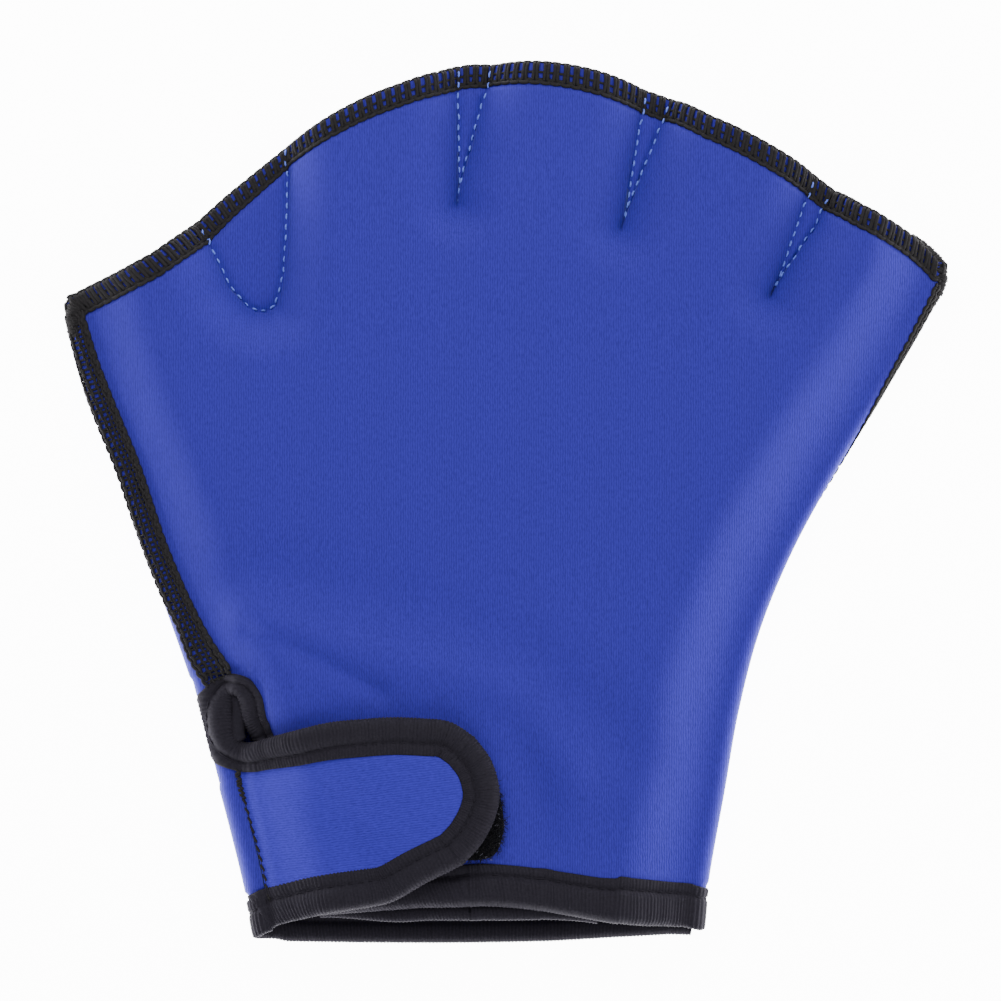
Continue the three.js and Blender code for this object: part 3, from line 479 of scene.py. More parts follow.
def side_point(side, height_at, v, distance):
    quarter = quarter_at(side, v)
    point, normal = fold_point(side, v, np.clip(distance / quarter, -1, 1) * math.pi / 2)
    past = np.maximum(np.abs(distance) - quarter, 0)
    x, y = plan(across_at(side, v, past), v)
    on_front, on_back = height_point(height_at, x, y), back_point(x, y)
    for mask, found in ((distance > quarter, on_front), (distance < -quarter, on_back)):
        point = np.where(mask[..., None], found[0], point)
        normal = np.where(mask[..., None], found[1], normal)
    return point, normal


def seam_distance(table, sign, v):
    y = plan(np.zeros_like(v), v)[1]
    radius = fold_radius(-1, y)
    below = SLIT_TOP - y
    round_end = np.sqrt(np.maximum(SLIT_HALF ** 2 - (SLIT_HALF - below) ** 2, 0))
    opening = np.maximum(np.where(below < SLIT_HALF, round_end, SLIT_HALF), 0.15)
    inset = table_at(table, y / LENGTH) * WIDTH
    outer = radius + HALF
    turned = np.where(inset < outer, radius * np.arccos(np.clip(1 - inset / outer, -1, 1)),
                      radius * math.pi / 2 + inset - outer)
    return turned + sign * opening


def front_seam(v):
    return seam_distance(THUMB_SEAM_FRONT, 1, v)


def back_seam(v):
    return seam_distance(THUMB_SEAM_BACK, -1, v)


def little_seam(v):
    y = plan(np.ones_like(v), v)[1]
    return table_at(LITTLE_SEAM, y / LENGTH) * quarter_at(1, v)


def v_at_height(y):
    low = wrist_point(np.array(0.0))[1]
    return PALM_SHARE * (y - low) / (tip_point(np.array(0.0))[1] - low)


# Columns of the two layers: kind 0 is beside the thumb side seam, 1 inside and 2 on the little fold

def inner_columns():
    columns = []
    for k, spans in enumerate(LEGS[:-1, 5].astype(int)):
        columns += [(k + i / spans) / (len(LEGS) - 1) for i in range(spans)]
    return np.array(columns[1:])


def column_set(lips, folds):
    inner = inner_columns()
    kind = np.concatenate([np.zeros(lips), np.ones(len(inner)), np.full(folds, 2)])
    value = np.concatenate([np.linspace(0, 1, lips), inner, np.linspace(0, 1, folds)])
    return kind, value


def beside_lip(u, v):
    first = across_at(-1, v, np.maximum(front_seam(v) + LIP - quarter_at(-1, v), 0))
    power = 1 + 24 * smooth((v - 0.25) / 0.5)
    return u + first * (1 - u) ** power


def front_at(kind, value, v):
    lip = side_point(-1, front_height, v, front_seam(v) + value * LIP)
    inner = height_point(front_height, *plan(beside_lip(np.clip(value, 0, 1), v), v))
    quarter = quarter_at(1, v)
    fold = fold_point(1, v, mix(quarter, 0.15 - little_seam(v), value) / quarter * math.pi / 2)
    return pick(kind, lip, inner, fold)


def back_at(kind, value, v):
    lip = side_point(-1, top_height, v, mix(back_seam(v), -quarter_at(-1, v), value))
    inner = back_point(*plan(np.clip(value, 0, 1), v))
    quarter = quarter_at(1, v)
    fold = fold_point(1, v, mix(-quarter, -0.15 - little_seam(v), value) / quarter * math.pi / 2)
    return pick(kind, lip, inner, fold)


def pick(kind, *found):
    point, normal = found[1]
    for number in (0, 2):
        mask = (kind == number)[..., None]
        point = np.where(mask, found[number][0], point)
        normal = np.where(mask, found[number][1], normal)
    return point, normal


def u_of(kind, value):
    return np.where(kind == 0, 0.0, np.where(kind == 2, 1.0, value))


def wrist_v(kind, value, layer, length):
    u = u_of(kind, value)
    if layer == "front":
        u = np.where(kind == 1, beside_lip(u, np.zeros_like(u)), u)
        share = leg_columns(u, 4)[0]
        start = FRONT_WRIST_STEP * (1 - smooth((share - 0.5) / 0.5))
    else:
        rounding = np.where(kind == 0, mix(2.8, 0.4, value), 0.4 * (1 - smooth(u / 0.02)))
        start = rounding - np.interp(wrist_point(u)[0], *WRIST_GROWTH.T)
    return above_wrist(u, 0, start + length)


def front_tape(kind, value):
    """Width and shift of the front wrist tape at each column."""
    x = np.where(kind == 2, mix(FOLD_START, FOLD_END, value), wrist_point(u_of(kind, value))[0])
    return [np.interp(x, FRONT_TAPE[:, 0], FRONT_TAPE[:, i]) for i in (1, 2)]


def edge_v(kind, value, layer, length):
    u = u_of(kind, value)
    _, k, q = leg_columns(u, 4)
    step = np.interp(edge_point(u)[0], *EDGE_GROWTH.T)
    if layer == "back":
        step = step + LEGS[k, 7] * 4 * q * (1 - q) * LENGTH - 0.9
    return below_edge(u, 1, length - step)


# Meshes

def to_row(points):
    return (np.asarray(points, float) + SHIFT) * 0.001


def new_object(name, verts, faces, material, slot, replaces=()):
    """A mesh from places in millimetres and an array of quads or triangles."""
    mesh = bpy.data.meshes.new(name)
    faces = np.asarray(faces, np.int32)
    mesh.vertices.add(len(verts))
    mesh.vertices.foreach_set("co", to_row(verts).astype(np.float32).ravel())
    mesh.loops.add(faces.size)
    mesh.loops.foreach_set("vertex_index", faces.ravel())
    mesh.polygons.add(len(faces))
    mesh.polygons.foreach_set("loop_start", np.arange(len(faces), dtype=np.int32) * faces.shape[1])
    mesh.polygons.foreach_set("use_smooth", np.ones(len(faces), bool))
    mesh.update(calc_edges=True)
    mesh.validate()
    mesh.materials.append(material)
    piece = bpy.data.objects.new(name, mesh)
    bpy.context.scene.collection.objects.link(piece)
    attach(piece, "root")
    if replaces:
        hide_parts(*replaces)
    return piece


def grid_faces(rows, columns, flip=False, closed=False):
    """Quads of a grid stored row by row; a closed one joins its last column to its first."""
    i, j = np.meshgrid(np.arange(rows - 1), np.arange(columns if closed else columns - 1), indexing="ij")
    after = (j + 1) % columns
    quads = np.stack([i * columns + j, i * columns + after, (i + 1) * columns + after,
                      (i + 1) * columns + j], axis=-1).reshape(-1, 4)
    return quads[:, ::-1] if flip else quads


def tubes(paths, normals, wide, high, sides=6):
    """Round threads along many paths of the same number of points, tapered at both ends."""
    paths = np.asarray(paths, float)
    count, steps = paths.shape[:2]
    along = unit(np.gradient(paths, axis=1))
    across = unit(np.cross(along, normals))
    upward = np.cross(across, along)
    taper = np.ones(steps)
    taper[0] = taper[-1] = 0.35
    angle = np.arange(sides) * 2 * math.pi / sides
    ring = (across[:, :, None] * np.cos(angle)[None, None, :, None] * np.asarray(wide)
            + upward[:, :, None] * np.sin(angle)[None, None, :, None] * np.asarray(high))
    verts = paths[:, :, None] + ring * taper[None, :, None, None]
    one = grid_faces(steps, sides, closed=True)
    faces = (one[None] + (np.arange(count) * steps * sides)[:, None, None]).reshape(-1, 4)
    return verts.reshape(-1, 3), faces


def joined(parts):
    verts, faces, start = [], [], 0
    for v, f in parts:
        verts.append(v)
        faces.append(f + start)
        start += len(v)
    return np.vstack(verts), np.vstack(faces)


class Strip:
    """Places beside an edge: s runs along it and d in from it, both in millimetres."""

    def __init__(self, place, depths):
        self.depths = np.asarray(depths, float)
        found = [place(d) for d in self.depths]
        self.points = np.array([f[0] for f in found])
        self.normals = np.array([f[1] for f in found])
        zero = int(np.argmin(np.abs(self.depths)))
        steps = np.linalg.norm(np.diff(self.points[zero], axis=0), axis=1)
        self.s = np.concatenate([[0], np.cumsum(np.maximum(steps, 1e-6))])
        self.inward = unit(self.points[zero + 1] - self.points[zero])
        self.length = self.s[-1]
        self.run_on = unit(self.points[zero, 1] - self.points[zero, 0])

    def gather(self, array, s, d):
        column = np.interp(s, self.s, np.arange(len(self.s)))
        row = np.interp(d, self.depths, np.arange(len(self.depths)))
        i = np.minimum(row.astype(int), len(self.depths) - 2)
        j = np.minimum(column.astype(int), len(self.s) - 2)
        p, q = (row - i)[..., None], (column - j)[..., None]
        return mix(mix(array[i, j], array[i, j + 1], q), mix(array[i + 1, j], array[i + 1, j + 1], q), p)

    def at(self, s, d, h):
        """Places h above the middle of the cloth; a d past the first depth goes out from the edge."""
        s, d, h = np.broadcast_arrays(np.asarray(s, float), np.asarray(d, float), np.asarray(h, float))
        point = self.gather(self.points, s, d)
        normal = unit(self.gather(self.normals, s, d))
        column = np.interp(s, self.s, np.arange(len(self.s)))
        j = np.clip(np.round(column).astype(int), 0, len(self.s) - 1)
        out = np.minimum(d - self.depths[0], 0)[..., None]
        past = np.minimum(s, 0)[..., None] * self.run_on
        return point + normal * h[..., None] + self.inward[j] * out + past, normal


# Materials

def node_material(name, colour, roughness, sheen=0.0, sheen_tint=(1, 1, 1)):
    material = bpy.data.materials.new(name)
    material.use_nodes = True
    shader = material.node_tree.nodes["Principled BSDF"]
    shader.inputs["Base Color"].default_value = (*colour, 1)
    shader.inputs["Roughness"].default_value = roughness
    shader.inputs["Sheen Weight"].default_value = sheen
    shader.inputs["Sheen Roughness"].default_value = 0.4
    shader.inputs["Sheen Tint"].default_value = (*sheen_tint, 1)
    shader.inputs["Specular IOR Level"].default_value = 0.15
    return material, shader


def add_node(tree, kind, sockets, operation=None):
    """A node whose sockets, by name or number, take a value or another node's output."""
    node = tree.nodes.new("ShaderNode" + kind)
    if operation:
        node.operation = operation
    for socket, given in sockets.items():
        if isinstance(given, bpy.types.NodeSocket):
            tree.links.new(given, node.inputs[socket])
        else:
            node.inputs[socket].default_value = given
    return node


def add_texture(tree, shader, colour, shares, lowest, tone, height, strength):
    """Varies a material between a dark and a light share of its colour, and roughens its surface."""
    ramp = add_node(tree, "ValToRGB", {"Fac": tone})
    ramp.color_ramp.elements[0].position = lowest
    for element, share in zip(ramp.color_ramp.elements, shares):
        element.color = (*[min(c * share, 1) for c in colour], 1)
    bump = add_node(tree, "Bump", {"Strength": strength, "Distance": 0.0001, "Height": height})
    tree.links.new(ramp.outputs["Color"], shader.inputs["Base Color"])
    tree.links.new(bump.outputs["Normal"], shader.inputs["Normal"])


def knit_material(name, colour, turn=0.0):
    """A fine jersey: soft wales broken by the loops' own unevenness."""
    material, shader = node_material(name, colour, 0.8, 0.2, (0.35, 0.45, 1.0))
    tree = material.node_tree
    place = add_node(tree, "TexCoord", {})
    turned = add_node(tree, "Mapping", {"Vector": place.outputs["Object"], "Rotation": (0, 0, turn)})
    wales = add_node(tree, "TexWave", {
        "Vector": turned.outputs["Vector"], "Scale": 2 * math.pi / 20 / (KNIT_PITCH * 0.001),
        "Distortion": 2.5, "Detail": 1.0, "Detail Scale": 1.4})
    wales.wave_type = "BANDS"
    wales.bands_direction = "X"
    stretched = add_node(tree, "Mapping", {"Vector": turned.outputs["Vector"], "Scale": (1.0, 0.45, 1.0)})
    loops = add_node(tree, "TexNoise", {"Vector": stretched.outputs["Vector"], "Scale": 2300, "Detail": 3})
    mixed = {0: loops.outputs["Fac"], 1: 2.6, 2: wales.outputs["Fac"]}
    grain = add_node(tree, "Math", mixed, "MULTIPLY_ADD").outputs["Value"]
    tone = add_node(tree, "Math", {0: grain, 1: 0.34}, "MULTIPLY").outputs["Value"]
    add_texture(tree, shader, colour, (0.66, 1.36), 0.2, tone, grain, 0.25)
    return material


def thread_material(name, colour, roughness, scale=1500, strength=0.4, sheen=0.0):
    """Twisted yarn: a dull surface with uneven tone."""
    material, shader = node_material(name, colour, roughness, sheen)
    shader.inputs["Specular IOR Level"].default_value = 0.06
    tree = material.node_tree
    place = add_node(tree, "TexCoord", {})
    noise = add_node(tree, "TexNoise", {"Vector": place.outputs["Object"], "Scale": scale, "Detail": 2})
    add_texture(tree, shader, colour, (0.6, 1.5), 0, noise.outputs["Fac"], noise.outputs["Fac"], strength)
    return material


blue = knit_material("blue knit", (0.021, 0.0155, 0.235))
# The strap's knit is a lighter copy of the blue knit: painted light, as the strap shows brighter than the
# palm.
strap_blue_painted_light = knit_material("strap knit painted lighter", (0.025, 0.0195, 0.285), turn=1.45)
tape = thread_material("ribbed tape", (0.0145, 0.013, 0.0185), 0.8, 2200, 0.3)
thread = thread_material("black thread", (0.0155, 0.0145, 0.0155), 0.8, 1800, 0.5)
light_thread = thread_material("light blue thread", (0.11, 0.16, 0.62), 0.6, 2500, 0.3)
pile = thread_material("pile", (0.006, 0.006, 0.008), 0.9, 2500, 0.6, 0.1)
# Light grey tips on a few hairs of the pile: painted glints, not the pile's own colour.
pile_glint = thread_material("pile tips painted glint", (0.08, 0.08, 0.10), 0.7)


# The two layers

def thinned(distance, reach, edge_half):
    return mix(edge_half, HALF, smooth((distance - reach) / BEYOND))


def layer_grid(layer, lips, folds, palm_rows, finger_rows):
    """Places, normals and half thickness of a layer, row by row from the wrist."""
    kind, value = column_set(lips, folds)
    trim = mix(CORNER_TRIM, TRIM, smooth(u_of(kind, value) / 0.12)) if layer == "front" else TRIM
    low = wrist_v(kind, value, layer, trim)
    high = edge_v(kind, value, layer, 0)
    rows = [mix(low, PALM_SHARE, q) for q in np.linspace(0, 1, palm_rows)[:-1]]
    rows += [mix(PALM_SHARE, high, q) for q in np.linspace(0, 1, finger_rows)]
    v = np.array(rows)
    kinds, values = np.broadcast_to(kind, v.shape), np.broadcast_to(value, v.shape)
    place = front_at if layer == "front" else back_at
    point, normal = place(kinds, values, v)
    u = u_of(kinds, values)
    from_wrist = (v - low) / PALM_SHARE * palm_length(u) + trim
    from_edge = (high - v) / (1 - PALM_SHARE) * finger_length(u)
    y = plan(np.zeros_like(v), v)[1]
    above = y - SLIT_TOP - LOOP_UP
    if layer == "front":
        taped = FRONT_TAPE_REACH * front_tape(kinds, values)[0] - 0.4
        taped_half = TAPED_HALF
        past = np.maximum(values * LIP - LIP_TAPE_REACH, above)
    else:
        taped = TAPE_REACH + 2.3 * (1 - smooth(u / 0.1))
        taped_half = TAPED_HALF * mix(0.4, 1, smooth((u - 0.03) / 0.12))
        in_from = values * (back_seam(v) + quarter_at(-1, v)) - LOOP_IN
        past = np.maximum(np.maximum(in_from, above), SLIT_CORNER - LOOP_DOWN - y)
    half = np.minimum(thinned(from_wrist, taped, taped_half),
                      thinned(from_edge, OVERLOCK_REACH, EDGED_HALF))
    half = np.where(kinds == 0, np.minimum(half, thinned(past, 0, TAPED_HALF)), half)
    return point, normal, half, from_edge


def layer_mesh(layer, lips, folds, palm_rows, finger_rows):
    """A layer with a fine outer face, a coarser inner one and a wall all round."""
    point, normal, half, from_edge = layer_grid(layer, lips, folds, palm_rows, finger_rows)
    rows, columns = half.shape
    outer = point + normal * half[..., None]
    if layer == "front":
        relief = web_relief(point[..., 0], point[..., 1]) * np.clip(normal[..., 2], 0, 1)
        relief = relief * smooth((from_edge - OVERLOCK_REACH) / 3)
        outer = outer + normal * relief[..., None]
    keep_rows = sorted(set(range(0, rows, INNER_STEP)) | {rows - 1})
    keep_columns = sorted(set(range(0, columns, INNER_STEP)) | {columns - 1})
    inner = (point - normal * half[..., None])[np.ix_(keep_rows, keep_columns)]
    on_back = layer == "back"
    parts = [(outer.reshape(-1, 3), grid_faces(rows, columns, flip=not on_back)),
             (inner.reshape(-1, 3), grid_faces(len(keep_rows), len(keep_columns), flip=on_back))]
    for line_in, line_out in ((inner[0], outer[0]), (inner[-1], outer[-1]),
                              (inner[:, 0], outer[:, 0]), (inner[:, -1], outer[:, -1])):
        far = np.linspace(0, 1, len(line_out))
        near = np.linspace(0, 1, len(line_in))
        wall_in = np.stack([np.interp(far, near, line_in[:, i]) for i in range(3)], axis=1)
        parts.append((np.vstack([line_out, wall_in]), grid_faces(2, len(line_out))))
    return new_object(f"{layer}_cloth", *joined(parts), blue, "blue_neoprene", (f"{layer}_panel",))


layer_mesh("front", 8, 14, 172, 42)
layer_mesh("back", 14, 8, 120, 30)


# Stitched edges and tape

def edge_strip(layer, lips, folds):
    kind, value = column_set(lips, folds)
    place = front_at if layer == "front" else back_at
    return Strip(lambda d: place(kind, value, edge_v(kind, value, layer, d)), np.linspace(0, 7, 15))


def front_wrist_strip(lips, folds):
    kind, value = column_set(lips, folds)
    keep = (kind > 0) & ((kind == 2) | (value > 0.02))
    kind, value = kind[keep], value[keep]
    wide, shift = front_tape(kind, value)
    return Strip(lambda d: front_at(kind, value, wrist_v(kind, value, "front", d * wide + shift)),
                 np.linspace(0, 9, 19))


def stitch_places(strip):
    """Slightly uneven places of stitches along a strip, and their true pitch."""
    count = int(strip.length / THREAD_PITCH)
    pitch = strip.length / count
    return (np.arange(count) + 0.5) * pitch + rng.normal(0, 0.06, count), pitch


def overlock(name, strip, replaces, lean_at, dense_at):
    """Bars of thread over an edge, crossed by a thin line and ended by a scalloped needle line."""
    s, pitch = stitch_places(strip)
    reach = OVERLOCK_REACH + 0.2
    base = EDGED_HALF
    lean = lean_at(s / strip.length)[:, None]
    dense = dense_at(s / strip.length)
    parts = []
    q = np.linspace(0, 1, 10)[None]
    for side in (-1, 1):
        d = mix(-0.42, reach - 0.5, q)
        h = base + 0.34 + 0.1 * np.sin(np.pi * q) - 0.62 * np.clip(1 - q * 6, 0, 1) ** 2
        wide = mix(0.36, 0.55, dense)[:, None]
        at_s = s[:, None] + side * wide * 0.85 + lean * (q - 0.3) + 0.06 * np.sin(q * 7 + side)
        parts.append(tubes(*strip.at(at_s, d, h), wide[:, :, None, None], 0.27))
    q = np.linspace(0, 1, 7)[None]
    for d, wide, low in ((1.9, 0.27, 0.24), (reach - 0.9, 0.42, 0.28)):
        across = s[:, None] + lean * (d / reach - 0.3) + q * pitch
        wave = d + 0.16 * np.sin(np.pi * q)
        parts.append(tubes(*strip.at(across, wave, base + low), wide, 0.2))
    needle = s[:, None] + lean * 0.7 + (q - 0.5) * pitch * 1.15
    scallop = reach - 0.35 + 0.32 * np.sin(np.pi * q)
    parts.append(tubes(*strip.at(needle, scallop, base + 0.36 + 0.1 * np.sin(np.pi * q)), 0.46, 0.3))
    nose = s[:, None] - lean * 0.3 + (q - 0.5) * pitch * 1.2
    rope = mix(0.3, 0.55, dense)[:, None]
    place = strip.at(nose, 0.05 - 0.5 * rope - 0.2 * np.sin(np.pi * q), 0.1 - 0.2 * q)
    parts.append(tubes(*place, rope[:, :, None, None], rope[:, :, None, None]))
    under_s = s[:, None] + 0.4 * pitch * q
    under = strip.at(under_s, mix(-0.45, reach - 0.3, q), -base - 0.3 + 0.25 * np.clip(1 - q * 5, 0, 1))
    parts.append(tubes(*under, 0.4, 0.22))
    return new_object(name, *joined(parts), thread, "black_thread", replaces)


front_edge = edge_strip("front", 6, 8)
back_edge = edge_strip("back", 8, 6)
overlock("front_overlock", front_edge, ("finger_edge_overlock_front",),
         lambda q: 1.9 - 1.5 * smooth((q - 0.2) / 0.3),
         lambda q: np.maximum(0.95 - 2.0 * q, 0.3 + 0.35 * smooth((q - 0.62) / 0.2)))
overlock("back_overlock", back_edge, ("finger_edge_overlock_back",), lambda q: 0.6 + 0 * q,
         lambda q: 0.7 + 0 * q)


def rib_profile(reach, roll=0.0):
    """Half of a tape's section from its inner edge to its nose: d in from the edge and h above it."""
    return [(reach, 0.5), (reach - 0.05, 0.95), (reach - 0.4, 1.12), (reach - 1.2, 1.14),
            (reach - 1.85, 1.12), (reach - 2.15, 0.9), (reach - 2.45, 0.84), (reach - 2.75, 0.95),
            (reach - 3.2, 1.5 + roll), (reach - 3.9, 1.85 + roll), (min(reach - 4.6, 1.6), 1.98 + roll),
            (0.5, 1.9 + roll * 0.8), (-0.1, 1.65 + roll * 0.5), (-0.7, 1.15), (-1.05, 0.55), (-1.15, 0)]


def binding(name, strip, reach, replaces, span, roll=0.0, rise_at=None):
    """Ribbed tape folded over an edge: a roll, a sunken stitch line and a flat lip."""
    top = rib_profile(reach, roll)
    under = [(d, -h * 0.86) for d, h in rib_profile(reach)[::-1][1:]]
    profile = np.array(top + under)
    first, last = span
    count = int((last - first) / (RIB_PITCH / 5))
    s = np.linspace(first, last, count)
    turn = 2 * math.pi * s / RIB_PITCH + 0.5 * np.sin(s * 0.9)
    wave = (0.5 + 0.5 * np.cos(turn)) ** 0.6 * 0.17 - 0.06
    wave = wave[:, None] * (1 + 0.25 * np.sin(s * 1.7)[:, None])
    on_roll = np.where(np.abs(profile[:, 1]) > 1.0, 1.0, 0.6)[None]
    d = profile[:, 0][None] - np.where(profile[:, 0] < 0.2, wave, 0)
    tall = np.abs(profile[:, 1])[None]
    rise = rise_at(s)[:, None] if rise_at else 1.0
    tall = np.minimum(tall, 1.12) + np.maximum(tall - 1.12, 0) * rise
    h = np.sign(profile[:, 1])[None] * (tall + wave * on_roll)
    point, _ = strip.at(s[:, None], d, h)
    parts = [(point.reshape(-1, 3), grid_faces(count, len(profile), closed=True))]
    stitches = int((last - first) / THREAD_PITCH)
    start = first + (np.arange(stitches) + 0.15) * THREAD_PITCH
    q = np.linspace(0, 1, 5)[None]
    line = strip.at(start[:, None] + q * 1.7, reach - 2.42, 0.86 + 0.08 * np.sin(np.pi * q))
    parts.append(tubes(*line, 0.2, 0.16, sides=5))
    return new_object(name, *joined(parts), tape, "black_tape", replaces)


front_wrist = front_wrist_strip(8, 12)
front_wrist.run_on = np.array([0.997, 0.075, 0.0])
binding("front_wrist_tape", front_wrist, FRONT_TAPE_REACH, ("wrist_binding_front",),
        (-TAPE_RUN_ON, front_wrist.length), roll=0.3,
        rise_at=lambda s: 0.1 + 0.9 * smooth((front_wrist.length - 5 - s) / 10))


def turned_under():
    """The lower half of the front tape, which shows past its nose near the strap."""
    count = 640
    s = np.linspace(0.5 - TAPE_RUN_ON, UNDER_END, count)[:, None]
    angle = np.linspace(0, 2 * math.pi, 13)[:-1][None]
    rib = 0.07 * np.cos(2 * math.pi * s / RIB_PITCH)
    show = 2.6 * smooth((UNDER_END - s) / 26) * smooth((s + TAPE_RUN_ON) / 20)
    d = -0.1 - show + (1.8 + rib) * np.cos(angle)
    h = -1.5 + (0.9 + rib) * np.sin(angle)
    point, _ = front_wrist.at(s, d, h)
    return new_object("front_wrist_tape_under", point.reshape(-1, 3), grid_faces(count, 12, closed=True),
                      tape, "black_tape")


turned_under()


def slit_place(d):
    """The hidden part of the slit's right edge, under the strap."""
    low = float(wrist_v(np.array([0.0]), np.array([0.0]), "front", TAPE_REACH + BEYOND)[0])
    v = np.linspace(low, float(v_at_height(SLIT_HIDDEN_TOP)), 40)
    return side_point(-1, front_height, v, front_seam(v) + d * LIP_TAPE_REACH / TAPE_REACH)


def flatlock(name, strip, replaces, lines, lift=0.24):
    """Lines of chain along a seam, joined by threads that cross it and leave small holes."""
    s, pitch = stitch_places(strip)
    parts = []
    q = np.linspace(0, 1, 8)[None]
    for number, (d, wide) in enumerate(lines):
        for half in (0, 1):
            at_s = s[:, None] + (q - 0.5 + 0.5 * half + 0.13 * number) * pitch * 1.1
            bow = np.sin(np.pi * q)
            place = strip.at(at_s, d + (half - 0.5) * wide * 0.9 * bow, HALF + lift + 0.12 * bow)
            parts.append(tubes(*place, wide * 0.62, 0.32))
    q = np.linspace(0, 1, 11)[None]
    edge = max(abs(d) for d, _ in lines)
    for phase, slant in ((0.0, 0.5), (0.5, -0.5)):
        at_s = s[:, None] + phase * pitch + slant * (q - 0.5)
        place = strip.at(at_s, mix(-edge, edge, q), HALF + lift - 0.1 + 0.06 * np.cos(np.pi * q * 4))
        parts.append(tubes(*place, 0.3, 0.26))
    return new_object(name, *joined(parts), thread, "black_thread", replaces)


def thumb_seam_strip():
    low = float(v_at_height(SLIT_TOP + 1.0))
    high = float(below_edge(np.array(0.0), 1.0, OVERLOCK_REACH + 0.2))
    v = np.linspace(low, high, 110)
    y = plan(np.zeros_like(v), v)[1]
    middle = (front_seam(v) + back_seam(v)) / 2 - 1.2 * smooth((112 - y) / 25) - smooth((74 - y) / 10)
    wide = 1 + 0.45 * smooth((74 - y) / 13)
    return Strip(lambda d: side_point(-1, top_height, v, middle + d * wide), np.linspace(-3.4, 3.4, 15))


def little_seam_strip():
    low = float(above_wrist(np.array(1.0), 0.0, TAPE_REACH + 0.6))
    high = float(below_edge(np.array(1.0), 1.0, OVERLOCK_REACH + 0.2))
    v = np.linspace(low, high, 160)
    middle = -little_seam(v) - 0.9 * (1 - smooth((v - 0.5) / 0.35)) + 1.1 * smooth((v - 0.55) / 0.2)
    return Strip(lambda d: side_point(1, top_height, v, middle + d), np.linspace(-2.6, 2.6, 11))


flatlock("thumb_flatlock", thumb_seam_strip(), ("thumb_side_seam",),
         ((-2.35, 0.7), (-1.2, 0.36), (-0.05, 0.36), (1.05, 0.42), (2.1, 0.8)))
flatlock("little_side_threads", little_seam_strip(), ("little_finger_side_seam",),
         ((-1.3, 0.8), (-0.2, 0.8), (0.9, 0.8)), lift=0.02)


# Light blue stitches of the webs

def web_stitches():
    """The thumb web's line is one run; each other web has two runs, from the edge to its tip."""
    parts = []
    for outline in WEB_LINES:
        lowest = int(np.argmin([p[1] for p in outline]))
        legs = [outline] if lowest in (6, 7) else [outline[:lowest + 1], outline[lowest:][::-1]]
        for leg in legs:
            whole = leg is outline
            line = through(leg[1:-1] if whole else leg[1:], 400)
            far = distances(line)
            room = far[-1] - WEB_STITCH
            at = np.linspace(0.4, room, int(room / WEB_PITCH) + 1)[:, None] + np.linspace(0, WEB_STITCH, 6)
            x, y = (np.interp(at, far, line[:, i]) for i in range(2))
            point, normal = height_point(front_height, x, y)
            to_end = np.minimum(at, far[-1] - at if whole else at)[..., None]
            over = 1 - smooth((to_end - 5.2) / 0.8)
            arch = 0.16 * np.sin(np.linspace(0, math.pi, 6))[None, :, None]
            lift = mix(HALF - 0.12, EDGED_HALF + 0.8, over) + arch
            parts.append(tubes(point + normal * lift, normal, 0.25, 0.22))
    return new_object("web_stitches", *joined(parts), light_thread, "blue_neoprene")


web_stitches()


# The strap and the patch under it

def root_x(y):
    side, cos = side_at(-1, y)
    inset = table_at(THUMB_SEAM_BACK, y / LENGTH) * WIDTH - SLIT_HALF
    return side + (inset - fold_radius(-1, y) - HALF) / cos + 0.3


def strap_height(x, y):
    over = smooth((x - root_x(y)) / STRAP_RUN)
    return mix(skin_top(x, y), front_height(x, y) + STRAP_RISE, over)


ROOT_TOP = SLIT_CORNER
ROOT_BOTTOM = STRAP_BOTTOM[0][1] * LENGTH - 1
HIGH_CORNER, LOW_CORNER = [(float(root_x(np.array(y))), y) for y in (ROOT_TOP, ROOT_BOTTOM)]
TOP_EDGE = through_shares(STRAP_TOP, 161, [HIGH_CORNER])
TIP_EDGE = through_shares(STRAP_TIP, 161)
BOTTOM_EDGE = through_shares(STRAP_BOTTOM, 161, [LOW_CORNER])
STRAP_OUTLINE = np.vstack([TOP_EDGE, TIP_EDGE[1:], BOTTOM_EDGE[::-1][1:]])


def on_edge(edge, q):
    at = np.linspace(0, 1, len(edge))
    return np.stack([np.interp(q, at, edge[:, i]) for i in range(2)], axis=-1)


def strap_place(p, q):
    """Places of the strap from its four edges: p from the root to the tip, q from low to high."""
    root_y = mix(ROOT_BOTTOM, ROOT_TOP, q)
    root = np.stack([root_x(root_y), root_y], axis=-1)
    tip, bottom, top = on_edge(TIP_EDGE, 1 - q), on_edge(BOTTOM_EDGE, p), on_edge(TOP_EDGE, p)
    p, q = p[..., None], q[..., None]
    low = mix(np.array(LOW_CORNER), TIP_EDGE[-1], p)
    high = mix(np.array(HIGH_CORNER), TIP_EDGE[0], p)
    return mix(root, tip, p) + mix(bottom, top, q) - mix(low, high, q)


def strap_cloth():
    """The strap's cloth; near the root it ends higher, as its tape does."""
    q, p = np.meshgrid(np.linspace(0, 1, 90), np.linspace(0, 1, 110), indexing="ij")
    q = mix(0.045 * smooth(1 - p / 0.25), 1, q)
    place = strap_place(p, q)
    x, y = place[..., 0], place[..., 1]
    point, normal = height_point(strap_height, x, y)
    half = thinned(line_distance(x, y, STRAP_OUTLINE[::4]), TAPE_REACH, TAPED_HALF)[..., None]
    inner = (point - normal * half)[::INNER_STEP, ::INNER_STEP]
    parts = [((point + normal * half).reshape(-1, 3), grid_faces(*x.shape)),
             (inner.reshape(-1, 3), grid_faces(*inner.shape[:2], flip=True))]
    # The strap's cloth takes the lighter copy of the knit: painted light.
    return new_object("strap_cloth", *joined(parts), strap_blue_painted_light, "blue_neoprene", ("wrist_strap",))


def loop_outline(start, end):
    """Places, widths and shares on the strap along the loop of tape at the slit's end."""
    marks = np.vstack([start, TAPE_LOOP[:, :2], end])
    far = distances(marks)
    at = through(marks, 220)[1:-1]
    place = np.linspace(0, far[-1], 220)[1:-1]
    wide, over = (np.interp(place, far[1:-1], TAPE_LOOP[:, i]) for i in (2, 3))
    return at, wide, over


